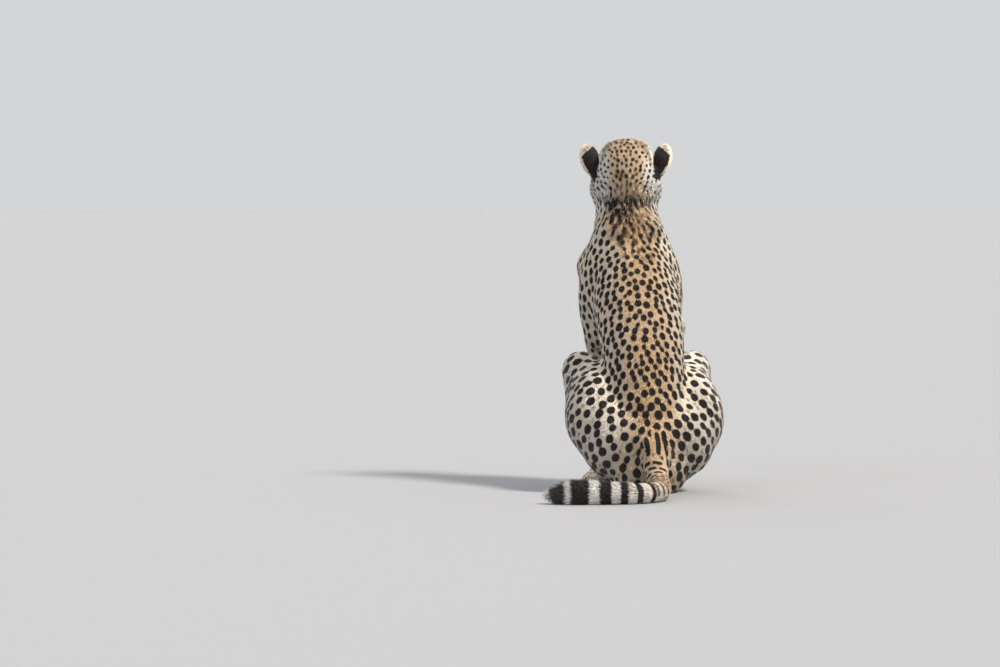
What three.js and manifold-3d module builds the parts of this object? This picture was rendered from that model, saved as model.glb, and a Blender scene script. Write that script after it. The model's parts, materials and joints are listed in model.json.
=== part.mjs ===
// A seated cheetah at life size: a still model made of closed solids, one for each part of the body.
// Millimetres, +Z up. The animal faces -Y, its left side is +X, and it sits on the plane z = 0.
// The flesh is a distance field of blended muscles and bones. Each stretch of it is meshed at a cell
// size that suits its detail, thinned, and parted from its neighbours by a narrow gap.
import * as THREE from "three";
import { mergeVertices } from "three/addons/utils/BufferGeometryUtils.js";
import Module from "manifold-3d";

const wasm = await Module();
wasm.setup();

// ---------------------------------------------------------------- driving sizes
const gap = 0.3; // between neighbouring parts
const far = 1500; // longer than anything here, for half spaces
const floorSink = 2.5; // how far soft undersides are pressed flat by the ground

// A place on the animal: side is 1 on its left and -1 on its right, out is away from its midline.
const at = (side, out, ahead, up) => new THREE.Vector3(side * out, -ahead, up);
const mid = (ahead, up) => new THREE.Vector3(0, -ahead, up);

// Stations of the trunk from rump to neck. Ahead and up are on the line of the back, then half width,
// depth from back to belly, and how much narrower the belly side is.
const trunkStations = [
  [-22, 60, 60, 120, 0],
  [-40, 122, 88, 165, 0],
  [-37, 180, 96, 182, 0],
  [-22, 240, 96, 184, 0],
  [4, 310, 98, 178, 0.04],
  [36, 380, 104, 186, 0.08],
  [76, 450, 110, 212, 0.14],
  [122, 520, 112, 238, 0.2],
  [174, 585, 106, 250, 0.24],
  [230, 640, 102, 226, 0.2],
  [270, 692, 89, 176, 0.08],
  [292, 744, 74, 146, 0],
  [294, 800, 66, 130, 0],
];

const headPlace = { ahead: 364, up: 806, turn: -10, nod: 2 }; // degrees
const eye = { out: 33, ahead: 71, up: 5, radius: 17.5 }; // in the head's frame, as are the ears
const ear = { out: 94, ahead: -4, up: 27, width: 27, height: 40, depth: 24, lean: 14, facing: 34 };

// Joints of the legs: out, ahead, up, and the radius of the leg there.
const shoulder = [82, 346, 562, 39];
const elbow = [77, 300, 378, 32];
const wrist = [68, 338, 116, 22];
const foreKnuckle = [64, 362, 30, 26];
const hip = [55, 45, 130, 74];
const knee = [140, 210, 300, 46];
const hock = [94, 92, 56, 23];
const hindKnuckle = [94, 268, 28, 24];
const forePaw = [41, 3]; // size, and how far it turns outward in degrees
const hindPaw = [40, 3];

// The middle line of the tail, from inside the rump to the tip: out, ahead, up, radius.
const tailLine = [
  [0, -2, 138, 38],
  [0, -52, 104, 34],
  [2, -92, 58, 30],
  [6, -136, 33, 29],
  [12, -196, 28, 27],
  [30, -262, 26, 26],
  [78, -312, 26, 26],
  [140, -326, 27, 27],
  [192, -323, 28, 27],
  [234, -318, 28, 26],
  [264, -313, 27, 19],
];
// The hair of the tail's end: flat locks that leave the tail from this point of its line on.
const bush = { locks: 32, from: 6.3, length: 62, width: 25, thickness: 7, lift: 18 };
// Along a lock from its root: how far along it, how far it has risen, and how wide it is.
const lockShape = [[-0.3, -0.3, 0.3], [0.15, 0.15, 0.9], [0.5, 0.6, 1], [0.8, 0.9, 0.6], [1, 1, 0.1]];
const tailCuts = [3.2, 6]; // where the tail is parted, counted in points of its line

// ---------------------------------------------------------------- distance fields
// Each field is a function of x, y, z: negative inside, positive outside, about a distance in mm.

// A rod whose radius changes from one end to the other, with round ends.
function cone(a, b, radiusA, radiusB) {
  const axis = b.clone().sub(a);
  const length2 = axis.lengthSq();
  const drop = radiusA - radiusB;
  const slant2 = length2 - drop * drop;
  return (x, y, z) => {
    const [px, py, pz] = [x - a.x, y - a.y, z - a.z];
    const along = px * axis.x + py * axis.y + pz * axis.z;
    const past = along - length2;
    const [qx, qy, qz] = [px * length2 - axis.x * along, py * length2 - axis.y * along, pz * length2 - axis.z * along];
    const off2 = qx * qx + qy * qy + qz * qz;
    const k = Math.sign(drop) * drop * drop * off2;
    if (Math.sign(past) * slant2 * past * past * length2 > k)
      return Math.sqrt(off2 + past * past * length2) / length2 - radiusB;
    if (Math.sign(along) * slant2 * along * along * length2 < k)
      return Math.sqrt(off2 + along * along * length2) / length2 - radiusA;
    return (Math.sqrt((off2 * slant2) / length2) + along * drop) / length2 - radiusA;
  };
}

// An ellipsoid. radii are along its own x, y and z, which turn gives as an Euler in degrees.
function egg(centre, radii, turn = [0, 0, 0]) {
  const euler = new THREE.Euler(...turn.map(THREE.MathUtils.degToRad));
  const m = new THREE.Matrix4().makeRotationFromEuler(euler).transpose().elements;
  const [rx, ry, rz] = radii;
  return (x, y, z) => {
    const [px, py, pz] = [x - centre.x, y - centre.y, z - centre.z];
    const ex = (m[0] * px + m[4] * py + m[8] * pz) / rx;
    const ey = (m[1] * px + m[5] * py + m[9] * pz) / ry;
    const ez = (m[2] * px + m[6] * py + m[10] * pz) / rz;
    const near = Math.hypot(ex, ey, ez);
    const steep = Math.hypot(ex / rx, ey / ry, ez / rz);
    return steep < 1e-9 ? -Math.min(rx, ry, rz) : (near * (near - 1)) / steep;
  };
}

function smooth(a, b, k) {
  const h = Math.max(k - Math.abs(a - b), 0) / k;
  return Math.min(a, b) - (h * h * k) / 4;
}

// Joins fields, with fillets of about k.
const blend =
  (k, ...fields) =>
  (x, y, z) => {
    let d = fields[0](x, y, z);
    for (let i = 1; i < fields.length; i++) d = smooth(d, fields[i](x, y, z), k);
    return d;
  };

// Takes the second field out of the first, with an edge rounded by about k.
const carve = (k, field, hole) => (x, y, z) => -smooth(-field(x, y, z), hole(x, y, z), k);

// A chain of rods through the points, each with its own radius.
function chain(k, points, radii) {
  const rods = points.slice(1).map((p, i) => cone(points[i], p, radii[i], radii[i + 1]));
  return blend(k, ...rods);
}

// ---------------------------------------------------------------- the body's fields
// Reads a row of numbers between the rows of a table, along a smooth curve through them.
function between(rows, t) {
  const i = Math.min(Math.max(Math.floor(t), 0), rows.length - 2);
  const f = t - i;
  const row = (n) => rows[Math.min(Math.max(n, 0), rows.length - 1)];
  return rows[0].map((_, c) => {
    const [p, q, r, s] = [row(i - 1)[c], row(i)[c], row(i + 1)[c], row(i + 2)[c]];
    return q + 0.5 * f * (r - p + f * (2 * p - 5 * q + 4 * r - s + f * (3 * (q - r) + s - p)));
  });
}

// The trunk is swept: each point lies between two of its cross sections, and is measured against
// an oval that is read between theirs.
function trunkField() {
  const count = 36;
  const rows = [...Array(count + 1).keys()].map((i) => between(trunkStations, (i * (trunkStations.length - 1)) / count));
  const sections = rows.map(([ahead, up, width, depth, keel], i) => {
    const [before, after] = [rows[Math.max(i - 1, 0)], rows[Math.min(i + 1, count)]];
    const run = Math.hypot(after[0] - before[0], after[1] - before[1]);
    const [ta, tu] = [(after[0] - before[0]) / run, (after[1] - before[1]) / run];
    // The belly lies ahead of and below the back: a quarter turn from the way the back runs.
    return { ta, tu, a: ahead + (tu * depth) / 2, u: up - (ta * depth) / 2, width, depth, keel };
  });
  return (x, y, z) => {
    const past = (s) => (-y - s.a) * s.ta + (z - s.u) * s.tu;
    let [low, high] = [0, count];
    while (high - low > 1) {
      const half = (low + high) >> 1;
      if (past(sections[half]) > 0) low = half;
      else high = half;
    }
    const [s, e] = [sections[low], sections[high]];
    const [ds, de] = [past(s), past(e)];
    const t = THREE.MathUtils.clamp(ds / (ds - de), 0, 1);
    const mix = (key) => s[key] + t * (e[key] - s[key]);
    const [a, u] = [mix("a"), mix("u")];
    const [ta, tu] = [mix("ta"), mix("tu")];
    const depth = mix("depth") / 2;
    const v = (-y - a) * tu - (z - u) * ta;
    const width = mix("width") * (1 - mix("keel") * THREE.MathUtils.clamp(v / depth + 0.2, -0.4, 1.2));
    const [ex, ev] = [x / width, v / depth];
    const near = Math.hypot(ex, ev);
    const steep = Math.hypot(ex / width, ev / depth);
    const side = steep < 1e-9 ? -depth : (near * (near - 1)) / steep;
    const end = Math.max(-ds, de);
    return end > 0 ? Math.hypot(Math.max(side, 0), end) : side;
  };
}

function restOfTrunk() {
  const rump = egg(mid(34, 92), [92, 82, 86], [8, 0, 0]);
  const breast = egg(mid(372, 520), [56, 46, 88], [24, 0, 0]);
  const sitBones = [1, -1].map((side) => egg(at(side, 46, 20, 54), [42, 54, 56]));
  return blend(36, rump, breast, ...sitBones);
}

const joint = (side, [out, ahead, up]) => at(side, out, ahead, up);

// A place on a paw, counted from below its knuckles: across it, forward along it, and up.
function pawPlace(side, knuckle, splay) {
  const spread = THREE.MathUtils.degToRad(splay);
  const [cos, sin] = [Math.cos(spread), Math.sin(spread)];
  return (across, forward, up) =>
    at(side, knuckle[0] + across * cos + forward * sin, knuckle[1] + forward * cos - across * sin, up);
}

// Each toe is counted from the middle of the paw; the two middle ones reach further.
const toeSteps = [-1.5, -0.5, 0.5, 1.5];
const toeReach = (step, size) => size * (Math.abs(step) < 1 ? 1.14 : 0.87);

function pawField(side, knuckle, size, splay) {
  const place = pawPlace(side, knuckle, splay);
  const toes = toeSteps.map((step) => {
    const reach = toeReach(step, size);
    return chain(
      5,
      [
        place(step * size * 0.34, -size * 0.1, size * 0.56),
        place(step * size * 0.4, reach * 0.5, size * 0.5),
        place(step * size * 0.41, reach, size * 0.25),
      ],
      [size * 0.26, size * 0.23, size * 0.22],
    );
  });
  const pad = egg(place(0, size * 0.1, size * 0.26), [size * 0.62, size * 0.6, size * 0.32]);
  return blend(5, pad, ...toes);
}

// The blunt claws, which stay out.
function clawSolids(side, knuckle, size, splay) {
  const place = pawPlace(side, knuckle, splay);
  return toeSteps.map((step) => {
    const reach = toeReach(step, size);
    const root = place(step * size * 0.41, reach + 3, size * 0.27);
    const tip = place(step * size * 0.4, reach + 17, size * 0.1);
    const spike = new THREE.CylinderGeometry(0.7, 3.4, root.distanceTo(tip), 5);
    spike.applyQuaternion(
      new THREE.Quaternion().setFromUnitVectors(new THREE.Vector3(0, 1, 0), tip.clone().sub(root).normalize()),
    );
    return solidOf(spike.translate(...root.add(tip).multiplyScalar(0.5)));
  });
}

function foreArmField(side) {
  const bend = at(side, elbow[0] - 2, elbow[1] + 14, 300);
  const low = at(side, 74, 328, 176);
  const arm = chain(
    12,
    [joint(side, elbow), bend, low, joint(side, wrist), joint(side, foreKnuckle)],
    [elbow[3], 33, 22, wrist[3], foreKnuckle[3] - 2],
  );
  const wristBone = egg(at(side, wrist[0] + 2, wrist[1] - 14, wrist[2] + 2), [12, 12, 15]);
  return blend(12, arm, wristBone, pawField(side, foreKnuckle, ...forePaw));
}

function foreLegField(side) {
  const blade = chain(30, [at(side, 46, 284, 644), joint(side, shoulder)], [32, 42]);
  const upperArm = chain(20, [joint(side, shoulder), joint(side, elbow)], [shoulder[3], elbow[3]]);
  const triceps = egg(at(side, 88, 292, 488), [46, 50, 112], [-4, 0, 0]);
  const elbowPoint = cone(at(side, elbow[0], 292, 420), at(side, elbow[0], 274, 388), 24, 17);
  return blend(26, blend(30, blade, upperArm, triceps), elbowPoint, foreArmField(side));
}

function lowerHindLegField(side) {
  const calf = chain(
    22,
    [joint(side, knee), at(side, 134, 172, 186), at(side, 104, 112, 92), joint(side, hock)],
    [knee[3] - 4, 44, 27, hock[3]],
  );
  const heel = egg(at(side, hock[0], hock[1] - 20, hock[2] - 12), [17, 20, 20]);
  const sole = chain(14, [joint(side, hock), at(side, 94, 180, 31), joint(side, hindKnuckle)], [hock[3], 21, 24]);
  return blend(12, calf, heel, sole, pawField(side, hindKnuckle, ...hindPaw));
}

function hindLegField(side) {
  const femur = chain(30, [joint(side, hip), joint(side, knee)], [hip[3], knee[3]]);
  const muscle = egg(at(side, 124, 128, 212), [68, 126, 96], [-36, 0, -18 * side]);
  const ham = egg(at(side, 100, 56, 132), [62, 84, 90], [-20, 0, -10 * side]);
  return blend(22, blend(40, femur, muscle, ham), lowerHindLegField(side));
}

function tailField() {
  const count = 60;
  const rows = [...Array(count + 1).keys()].map((i) => between(tailLine, (i * (tailLine.length - 1)) / count));
  const rods = rows.slice(1).map((row, i) => cone(at(1, ...rows[i]), at(1, ...row), rows[i][3], row[3]));
  return (x, y, z) => rods.reduce((d, rod) => Math.min(d, rod(x, y, z)), Infinity);
}

// ---------------------------------------------------------------- the head, in its own frame
// The frame's origin is the middle of the braincase, with the same directions as the body's.
const headFrame = new THREE.Matrix4()
  .makeRotationFromEuler(
    new THREE.Euler(THREE.MathUtils.degToRad(headPlace.nod), 0, THREE.MathUtils.degToRad(headPlace.turn), "ZXY"),
  )
  .setPosition(mid(headPlace.ahead, headPlace.up));
const bothSides = (make) => [make(1), make(-1)];

function headField() {
  const skull = blend(
    30,
    egg(mid(-4, 6), [62, 70, 66]),
    ...bothSides((side) => egg(at(side, 20, -4, 18), [45, 60, 53])),
    egg(mid(42, 16), [50, 46, 44]),
    egg(mid(-40, -26), [58, 44, 56]),
    egg(mid(16, -44), [43, 60, 38]),
    ...bothSides((side) => egg(at(side, 51, -12, -47), [40, 42, 38])),
    ...bothSides((side) => egg(at(side, 42, 34, -40), [30, 40, 32])),
    ...bothSides((side) => egg(at(side, 45, 46, -18), [24, 34, 21])),
  );
  const jaw = blend(18, ...bothSides((side) => cone(at(side, 34, 22, -52), at(side, 9, 100, -60), 24, 14)));
  const muzzle = blend(
    14,
    egg(mid(92, -32), [31, 40, 28]),
    cone(mid(56, 20), mid(122, -13), 23, 12),
    ...bothSides((side) => egg(at(side, 17, 112, -36), [19, 23, 19])),
    egg(mid(106, -62), [17, 18, 13]),
  );
  const brows = blend(12, ...bothSides((side) => cone(at(side, 14, 74, 31), at(side, 46, 58, 24), 15, 13)));
  const whole = blend(16, skull, jaw, muzzle, brows);
  const sockets = blend(2, ...bothSides((side) => egg(at(side, eye.out + 2, eye.ahead + 16, eye.up), [21, 13, 16])));
  const lids = blend(
    2,
    ...bothSides((side) => egg(at(side, eye.out, eye.ahead, eye.up), Array(3).fill(eye.radius + 3))),
  );
  return blend(4, carve(9, whole, sockets), lids);
}

// Each ear is a cup that faces ahead and outward, on a thick root.
function earField(side) {
  const turn = [0, ear.lean * side, ear.facing * side];
  const place = at(side, ear.out, ear.ahead, ear.up);
  const facing = new THREE.Vector3(0, -1, 0).applyEuler(new THREE.Euler(...turn.map(THREE.MathUtils.degToRad)));
  const hollow = place.clone().addScaledVector(facing, 9);
  const outer = egg(place, [ear.width, ear.depth, ear.height], turn);
  const inner = egg(hollow, [ear.width - 4.5, ear.depth + 2, ear.height - 4.5], turn);
  const front = (x, y, z) => 4 - ((x - place.x) * facing.x + (y - place.y) * facing.y + (z - place.z) * facing.z);
  const cup = carve(3, carve(3, outer, inner), front);
  const root = cone(at(side, 62, -8, -18), at(side, 82, -8, -4), 21, 14);
  return blend(10, cup, root);
}

// The field of something in the head's frame, read in the body's frame.
function inHeadFrame(field) {
  const m = headFrame.clone().invert().elements;
  return (x, y, z) =>
    field(
      m[0] * x + m[4] * y + m[8] * z + m[12],
      m[1] * x + m[5] * y + m[9] * z + m[13],
      m[2] * x + m[6] * y + m[10] * z + m[14],
    );
}

// ---------------------------------------------------------------- meshing
// Surface nets: one vertex in each cell that the surface crosses, one quad for each crossed grid edge.
function netOf(field, low, high, cell) {
  const [nx, ny, nz] = high.clone().sub(low).divideScalar(cell).ceil().addScalar(1).toArray();
  const value = new Float32Array(nx * ny * nz);
  const index = (i, j, k) => i + nx * (j + ny * k);
  for (let k = 0; k < nz; k++)
    for (let j = 0; j < ny; j++)
      for (let i = 0; i < nx; i++) {
        const rim = i === 0 || j === 0 || k === 0 || i === nx - 1 || j === ny - 1 || k === nz - 1;
        const d = field(low.x + i * cell, low.y + j * cell, low.z + k * cell);
        value[index(i, j, k)] = rim ? Math.max(d, cell / 4) : d;
      }
  fillCorners(value, [1, nx, nx * ny]);
  const vertexOf = new Int32Array(nx * ny * nz).fill(-1);
  const points = [];
  const corners = [...Array(8).keys()].map((c) => [c & 1, (c >> 1) & 1, c >> 2]);
  const edges = corners.flatMap((a, i) =>
    corners.slice(i + 1).flatMap((b) => (a.reduce((sum, v, n) => sum + Math.abs(v - b[n]), 0) === 1 ? [[a, b]] : [])),
  );
  for (let k = 0; k < nz - 1; k++)
    for (let j = 0; j < ny - 1; j++)
      for (let i = 0; i < nx - 1; i++) {
        const sum = new THREE.Vector3();
        let crossings = 0;
        for (const [a, b] of edges) {
          const va = value[index(i + a[0], j + a[1], k + a[2])];
          const vb = value[index(i + b[0], j + b[1], k + b[2])];
          if (va < 0 === vb < 0) continue;
          const t = va / (va - vb);
          sum.x += i + a[0] + t * (b[0] - a[0]);
          sum.y += j + a[1] + t * (b[1] - a[1]);
          sum.z += k + a[2] + t * (b[2] - a[2]);
          crossings++;
        }
        if (!crossings) continue;
        vertexOf[index(i, j, k)] = points.length;
        points.push(settled(field, sum.multiplyScalar(cell / crossings).add(low), cell));
      }
  const steps = [[1, 0, 0], [0, 1, 0], [0, 0, 1]];
  const faces = [];
  for (let k = 0; k < nz - 1; k++)
    for (let j = 0; j < ny - 1; j++)
      for (let i = 0; i < nx - 1; i++)
        steps.forEach((step, axis) => {
          const inside = value[index(i, j, k)] < 0;
          if (inside === value[index(i + step[0], j + step[1], k + step[2])] < 0) return;
          const [u, v] = [steps[(axis + 1) % 3], steps[(axis + 2) % 3]];
          const cellAt = (a, b) =>
            vertexOf[index(i - a * u[0] - b * v[0], j - a * u[1] - b * v[1], k - a * u[2] - b * v[2])];
          const quad = [cellAt(0, 0), cellAt(1, 0), cellAt(1, 1), cellAt(0, 1)];
          const [p, q, r, s] = inside ? quad : quad.reverse();
          faces.push([p, q, r], [p, r, s]);
        });
  return { points, faces };
}

// Where solid meets solid only across the diagonal of a grid square, fills one of the open corners,
// so that no edge of the net is shared by more than two faces.
function fillCorners(value, strides) {
  const pairs = [[0, 1], [1, 2], [2, 0]].map(([a, b]) => [strides[a], strides[b]]);
  const last = value.length - strides[0] - strides[1] - strides[2];
  for (let changed = true; changed; ) {
    changed = false;
    for (let i = 0; i < last; i++)
      for (const [a, b] of pairs) {
        const [low, high] = [value[i] < 0, value[i + a] < 0];
        if (low === high || value[i + a + b] < 0 !== low || value[i + b] < 0 !== high) continue;
        const open = low ? [i + a, i + b] : [i, i + a + b];
        value[value[open[0]] < value[open[1]] ? open[0] : open[1]] = -1e-3;
        changed = true;
      }
  }
}

// Moves a net's vertex onto the field's surface, unless that is further than part of a cell.
function settled(field, p, cell) {
  const d = field(p.x, p.y, p.z);
  const e = 0.5;
  const slope = new THREE.Vector3(field(p.x + e, p.y, p.z) - d, field(p.x, p.y + e, p.z) - d, field(p.x, p.y, p.z + e) - d);
  const steep2 = slope.lengthSq() / (e * e);
  if (Math.abs(d) > cell * 0.4 || steep2 < 0.1) return p;
  return p.addScaledVector(slope, -d / (e * steep2));
}

// Merges vertices, cheapest first by quadric error, until the wanted number of faces is left.
function thinned({ points, faces }, wanted, weigh = () => 1) {
  const around = points.map(() => new Set());
  const quadric = points.map(() => new Float64Array(10));
  const alive = faces.map(() => true);
  const normal = new THREE.Vector3();
  const [ab, ac] = [new THREE.Vector3(), new THREE.Vector3()];
  const normalOf = (a, b, c) => normal.crossVectors(ab.subVectors(b, a), ac.subVectors(c, a));
  const addPlane = (q, n, d, w) => {
    const v = [n.x, n.y, n.z, d];
    let slot = 0;
    for (let i = 0; i < 4; i++) for (let j = i; j < 4; j++) q[slot++] += w * v[i] * v[j];
  };
  const hold = 0.004; // keeps vertices of flat stretches from sliding far
  faces.forEach((face, f) => {
    const [a, b, c] = face.map((i) => points[i]);
    const area = normalOf(a, b, c).length() || 1e-9;
    normal.divideScalar(area);
    const size = area * weigh(a);
    for (const i of face) {
      around[i].add(f);
      addPlane(quadric[i], normal, -normal.dot(a), size);
      const p = points[i];
      addPlane(quadric[i], { x: 1, y: 0, z: 0 }, -p.x, size * hold);
      addPlane(quadric[i], { x: 0, y: 1, z: 0 }, -p.y, size * hold);
      addPlane(quadric[i], { x: 0, y: 0, z: 1 }, -p.z, size * hold);
    }
  });
  const stamp = new Int32Array(points.length);
  const heap = heapByFirst();
  const costAt = (q, p) =>
    q[0] * p.x * p.x + 2 * q[1] * p.x * p.y + 2 * q[2] * p.x * p.z + 2 * q[3] * p.x + q[4] * p.y * p.y +
    2 * q[5] * p.y * p.z + 2 * q[6] * p.y + q[7] * p.z * p.z + 2 * q[8] * p.z + q[9];
  const matrix = new THREE.Matrix3();
  const queue = (a, b) => {
    const q = quadric[a].map((v, i) => v + quadric[b][i]);
    const place = points[a].clone().add(points[b]).multiplyScalar(0.5);
    matrix.set(q[0], q[1], q[2], q[1], q[4], q[5], q[2], q[5], q[7]);
    if (Math.abs(matrix.determinant()) > 1e-9) {
      const best = new THREE.Vector3(-q[3], -q[6], -q[8]).applyMatrix3(matrix.invert());
      if (best.distanceTo(place) < 2 * points[a].distanceTo(points[b])) place.copy(best);
    }
    heap.push([costAt(q, place), a, b, stamp[a] + stamp[b], place]);
  };
  const neighbours = (i) => new Set([...around[i]].flatMap((f) => faces[f]).filter((j) => j !== i));
  faces.forEach((face) => face.forEach((a, n) => face[(n + 1) % 3] > a && queue(a, face[(n + 1) % 3])));
  let left = faces.length;
  while (left > wanted && heap.size()) {
    const [, a, b, mark, place] = heap.pop();
    if (mark !== stamp[a] + stamp[b] || !around[a].size || !around[b].size) continue;
    const nearB = neighbours(b);
    const shared = [...neighbours(a)].filter((i) => nearB.has(i));
    if (shared.length !== 2 || !nearB.has(a)) continue;
    const turns = [a, b].some((i) =>
      [...around[i]].some((f) => {
        if (faces[f].includes(a) && faces[f].includes(b)) return false;
        const before = normalOf(...faces[f].map((j) => points[j])).clone().normalize();
        const after = normalOf(...faces[f].map((j) => (j === i ? place : points[j])));
        return before.dot(after) < 0.35 * after.length();
      }),
    );
    if (turns) continue;
    for (const f of [...around[b]]) {
      if (faces[f].includes(a)) {
        alive[f] = false;
        left--;
        for (const i of faces[f]) around[i].delete(f);
      } else {
        faces[f] = faces[f].map((i) => (i === b ? a : i));
        around[a].add(f);
      }
    }
    around[b].clear();
    points[a] = place;
    quadric[a] = quadric[a].map((v, i) => v + quadric[b][i]);
    stamp[a] += 1 + stamp[b];
    for (const i of neighbours(a)) queue(Math.min(a, i), Math.max(a, i));
  }
  return { points, faces: faces.filter((_, f) => alive[f]) };
}

function heapByFirst() {
  const items = [];
  const swap = (i, j) => ([items[i], items[j]] = [items[j], items[i]]);
  return {
    size: () => items.length,
    push(item) {
      let i = items.push(item) - 1;
      while (i && items[(i - 1) >> 1][0] > items[i][0]) {
        swap(i, (i - 1) >> 1);
        i = (i - 1) >> 1;
      }
    },
    pop() {
      swap(0, items.length - 1);
      const top = items.pop();
      for (let i = 0; ; ) {
        const child = [2 * i + 1, 2 * i + 2].filter((c) => c < items.length);
        const least = child.sort((c, d) => items[c][0] - items[d][0])[0];
        if (least === undefined || items[least][0] >= items[i][0]) return top;
        swap(i, least);
        i = least;
      }
    },
  };
}

// ---------------------------------------------------------------- solids
function solidOfNet({ points, faces }) {
  const vertProperties = new Float32Array(points.flatMap((p) => p.toArray()));
  const mesh = new wasm.Mesh({ numProp: 3, vertProperties, triVerts: new Uint32Array(faces.flat()) });
  mesh.merge();
  return new wasm.Manifold(mesh);
}

function solidOf(geometry) {
  const bare = geometry.clone();
  bare.deleteAttribute("normal");
  bare.deleteAttribute("uv");
  const merged = mergeVertices(bare, 1e-3);
  return new wasm.Manifold(
    new wasm.Mesh({
      numProp: 3,
      vertProperties: merged.attributes.position.array,
      triVerts: new Uint32Array(merged.index.array),
    }),
  );
}

function geometryOf(solid) {
  const mesh = solid.getMesh();
  const positions = new Float32Array(mesh.numVert * 3);
  for (let i = 0; i < mesh.numVert; i++)
    positions.set(mesh.vertProperties.subarray(i * mesh.numProp, i * mesh.numProp + 3), i * 3);
  const geometry = new THREE.BufferGeometry();
  geometry.setAttribute("position", new THREE.BufferAttribute(positions, 3));
  geometry.setIndex(new THREE.BufferAttribute(mesh.triVerts, 1));
  geometry.computeVertexNormals();
  return geometry;
}

const biggest = (solid) => solid.decompose().sort((a, b) => b.volume() - a.volume())[0];

// Everything on one side of a plane, as a very large box.
function beyond(point, direction) {
  const geometry = new THREE.BoxGeometry(2 * far, 2 * far, 2 * far);
  const way = direction.clone().normalize();
  geometry.applyQuaternion(new THREE.Quaternion().setFromUnitVectors(new THREE.Vector3(0, 0, 1), way));
  const centre = point.clone().addScaledVector(way, far);
  return solidOf(geometry.translate(centre.x, centre.y, centre.z));
}

// An ellipsoid as a solid, with its own frame given as a matrix.
function eggSolid(radii, frame) {
  return solidOf(new THREE.SphereGeometry(1, 22, 14).scale(...radii).applyMatrix4(frame));
}

// The same net with every vertex moved out along its normal.
function grown(net, by) {
  const normals = net.points.map(() => new THREE.Vector3());
  for (const face of net.faces) {
    const [a, b, c] = face.map((i) => net.points[i]);
    const n = b.clone().sub(a).cross(c.clone().sub(a));
    face.forEach((i) => normals[i].add(n));
  }
  return { points: net.points.map((p, i) => p.clone().addScaledVector(normals[i].normalize(), by)), faces: net.faces };
}

// The nose leather, from one nostril's wing to the other, with its lower edge between the lips.
const noseField = () =>
  blend(
    6,
    egg(mid(125, -15), [13, 16, 10]),
    egg(mid(129, -25), [5, 10, 10]),
    ...bothSides((side) => egg(at(side, 10, 124, -18), [8.5, 14, 8])),
  );

// The line between the lips: down from the nose, then round under the whiskers to its corner.
const lipLine = [
  [0, 140, -29, 1.5],
  [0, 140, -46, 1.9],
  [9, 136, -55, 2.1],
  [20, 126, -56, 2.2],
  [30, 108, -54, 2.2],
  [36, 90, -51, 2],
  [41, 72, -46, 1.5],
];

// Where a ray from far off to the given place first meets the field.
function skinToward(field, place, from) {
  const way = place.clone().sub(from).normalize();
  const p = from.clone();
  for (let i = 0; i < 60; i++) p.addScaledVector(way, field(p.x, p.y, p.z) * 0.7);
  return p;
}

function lipField(face, side) {
  const count = 18;
  const rows = [...Array(count + 1).keys()].map((i) => between(lipLine, (i * (lipLine.length - 1)) / count));
  const points = rows.map(([out, ahead, up]) => {
    const inner = at(side, out * 0.2, ahead - 42, up + 6);
    const outer = at(side, out, ahead, up).sub(inner).multiplyScalar(2.5).add(inner);
    return skinToward(face, inner, outer);
  });
  return chain(1, points, rows.map((row) => row[3]));
}

const nostrilField = (side) =>
  chain(1, [at(side, 5.5, 144, -17), at(side, 9, 136, -18), at(side, 14.5, 131, -15)], [3.2, 3.2, 1.3]);

// ---------------------------------------------------------------- assembly
const group = new THREE.Group();
group.name = "cheetah";
const coat = new THREE.MeshStandardMaterial({ color: 0xd9b27c, roughness: 0.85 });
const darkCoat = new THREE.MeshStandardMaterial({ color: 0x1d1814, roughness: 0.85 });
const noseLeather = new THREE.MeshStandardMaterial({ color: 0x17120f, roughness: 0.5 });
const cornea = new THREE.MeshStandardMaterial({ color: 0xa8742a, roughness: 0.08 });

function add(name, solid, material = coat) {
  const mesh = new THREE.Mesh(geometryOf(biggest(solid)), material);
  mesh.name = name;
  group.add(mesh);
}

const sink = (field) => (x, y, z) => field(x, y, z + floorSink);
const trunkAlone = trunkField();
const trunkRest = restOfTrunk();
const trunk = (x, y, z) => smooth(trunkAlone(x, y, z), trunkRest(x, y, z), 36);
const headAlone = headField();
const earFields = bothSides(earField);
const head = inHeadFrame(blend(8, headAlone, ...earFields));
const foreLegs = bothSides(foreLegField);
const hindLegs = bothSides(hindLegField);
const tail = tailField();

// Every limb is filleted into the trunk, but not into the other limbs.
const onTrunk = (...limbs) =>
  sink((x, y, z) => {
    const d = trunk(x, y, z);
    return Math.min(d, ...limbs.map(([limb, k]) => smooth(d, limb(x, y, z), k)));
  });

const box = (x, ahead, up) => [
  new THREE.Vector3(x[0], -ahead[1], up[0]),
  new THREE.Vector3(x[1], -ahead[0], up[1]),
];
const cubeAround = (centre, half) => [centre.clone().subScalar(half), centre.clone().addScalar(half)];
const made = (field, [low, high], cell, triangles, weigh) =>
  solidOfNet(thinned(netOf(field, low, high, cell), triangles, weigh));

const both = (a, b) => a.intersect(b);
const joined = (a, b) => a.add(b);
// What lies inside the region, and what lies outside it, with the gap between.
function split(solid, region) {
  const [inner, outer] = [region(gap / 2), region(-gap / 2)];
  return [solid.intersect(inner), solid.subtract(outer)];
}
// A half space past the point, the given way. Both are out, ahead, up.
const halfSpace = (side, point, way) => (inset) =>
  beyond(at(side, ...point).addScaledVector(at(side, ...way).normalize(), inset), at(side, ...way));
const meet = (...regions) => (inset) => regions.map((region) => region(inset)).reduce(both);

const ground = beyond(mid(0, 0), mid(0, 1));
const flesh = onTrunk(
  [foreLegs[0], 28],
  [foreLegs[1], 28],
  [hindLegs[0], 22],
  [hindLegs[1], 22],
  [tail, 30],
  [head, 30],
);
let body = made(flesh, box([-226, 226], [-76, 470], [-12, 780]), 9, 2860).intersect(ground);

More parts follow.
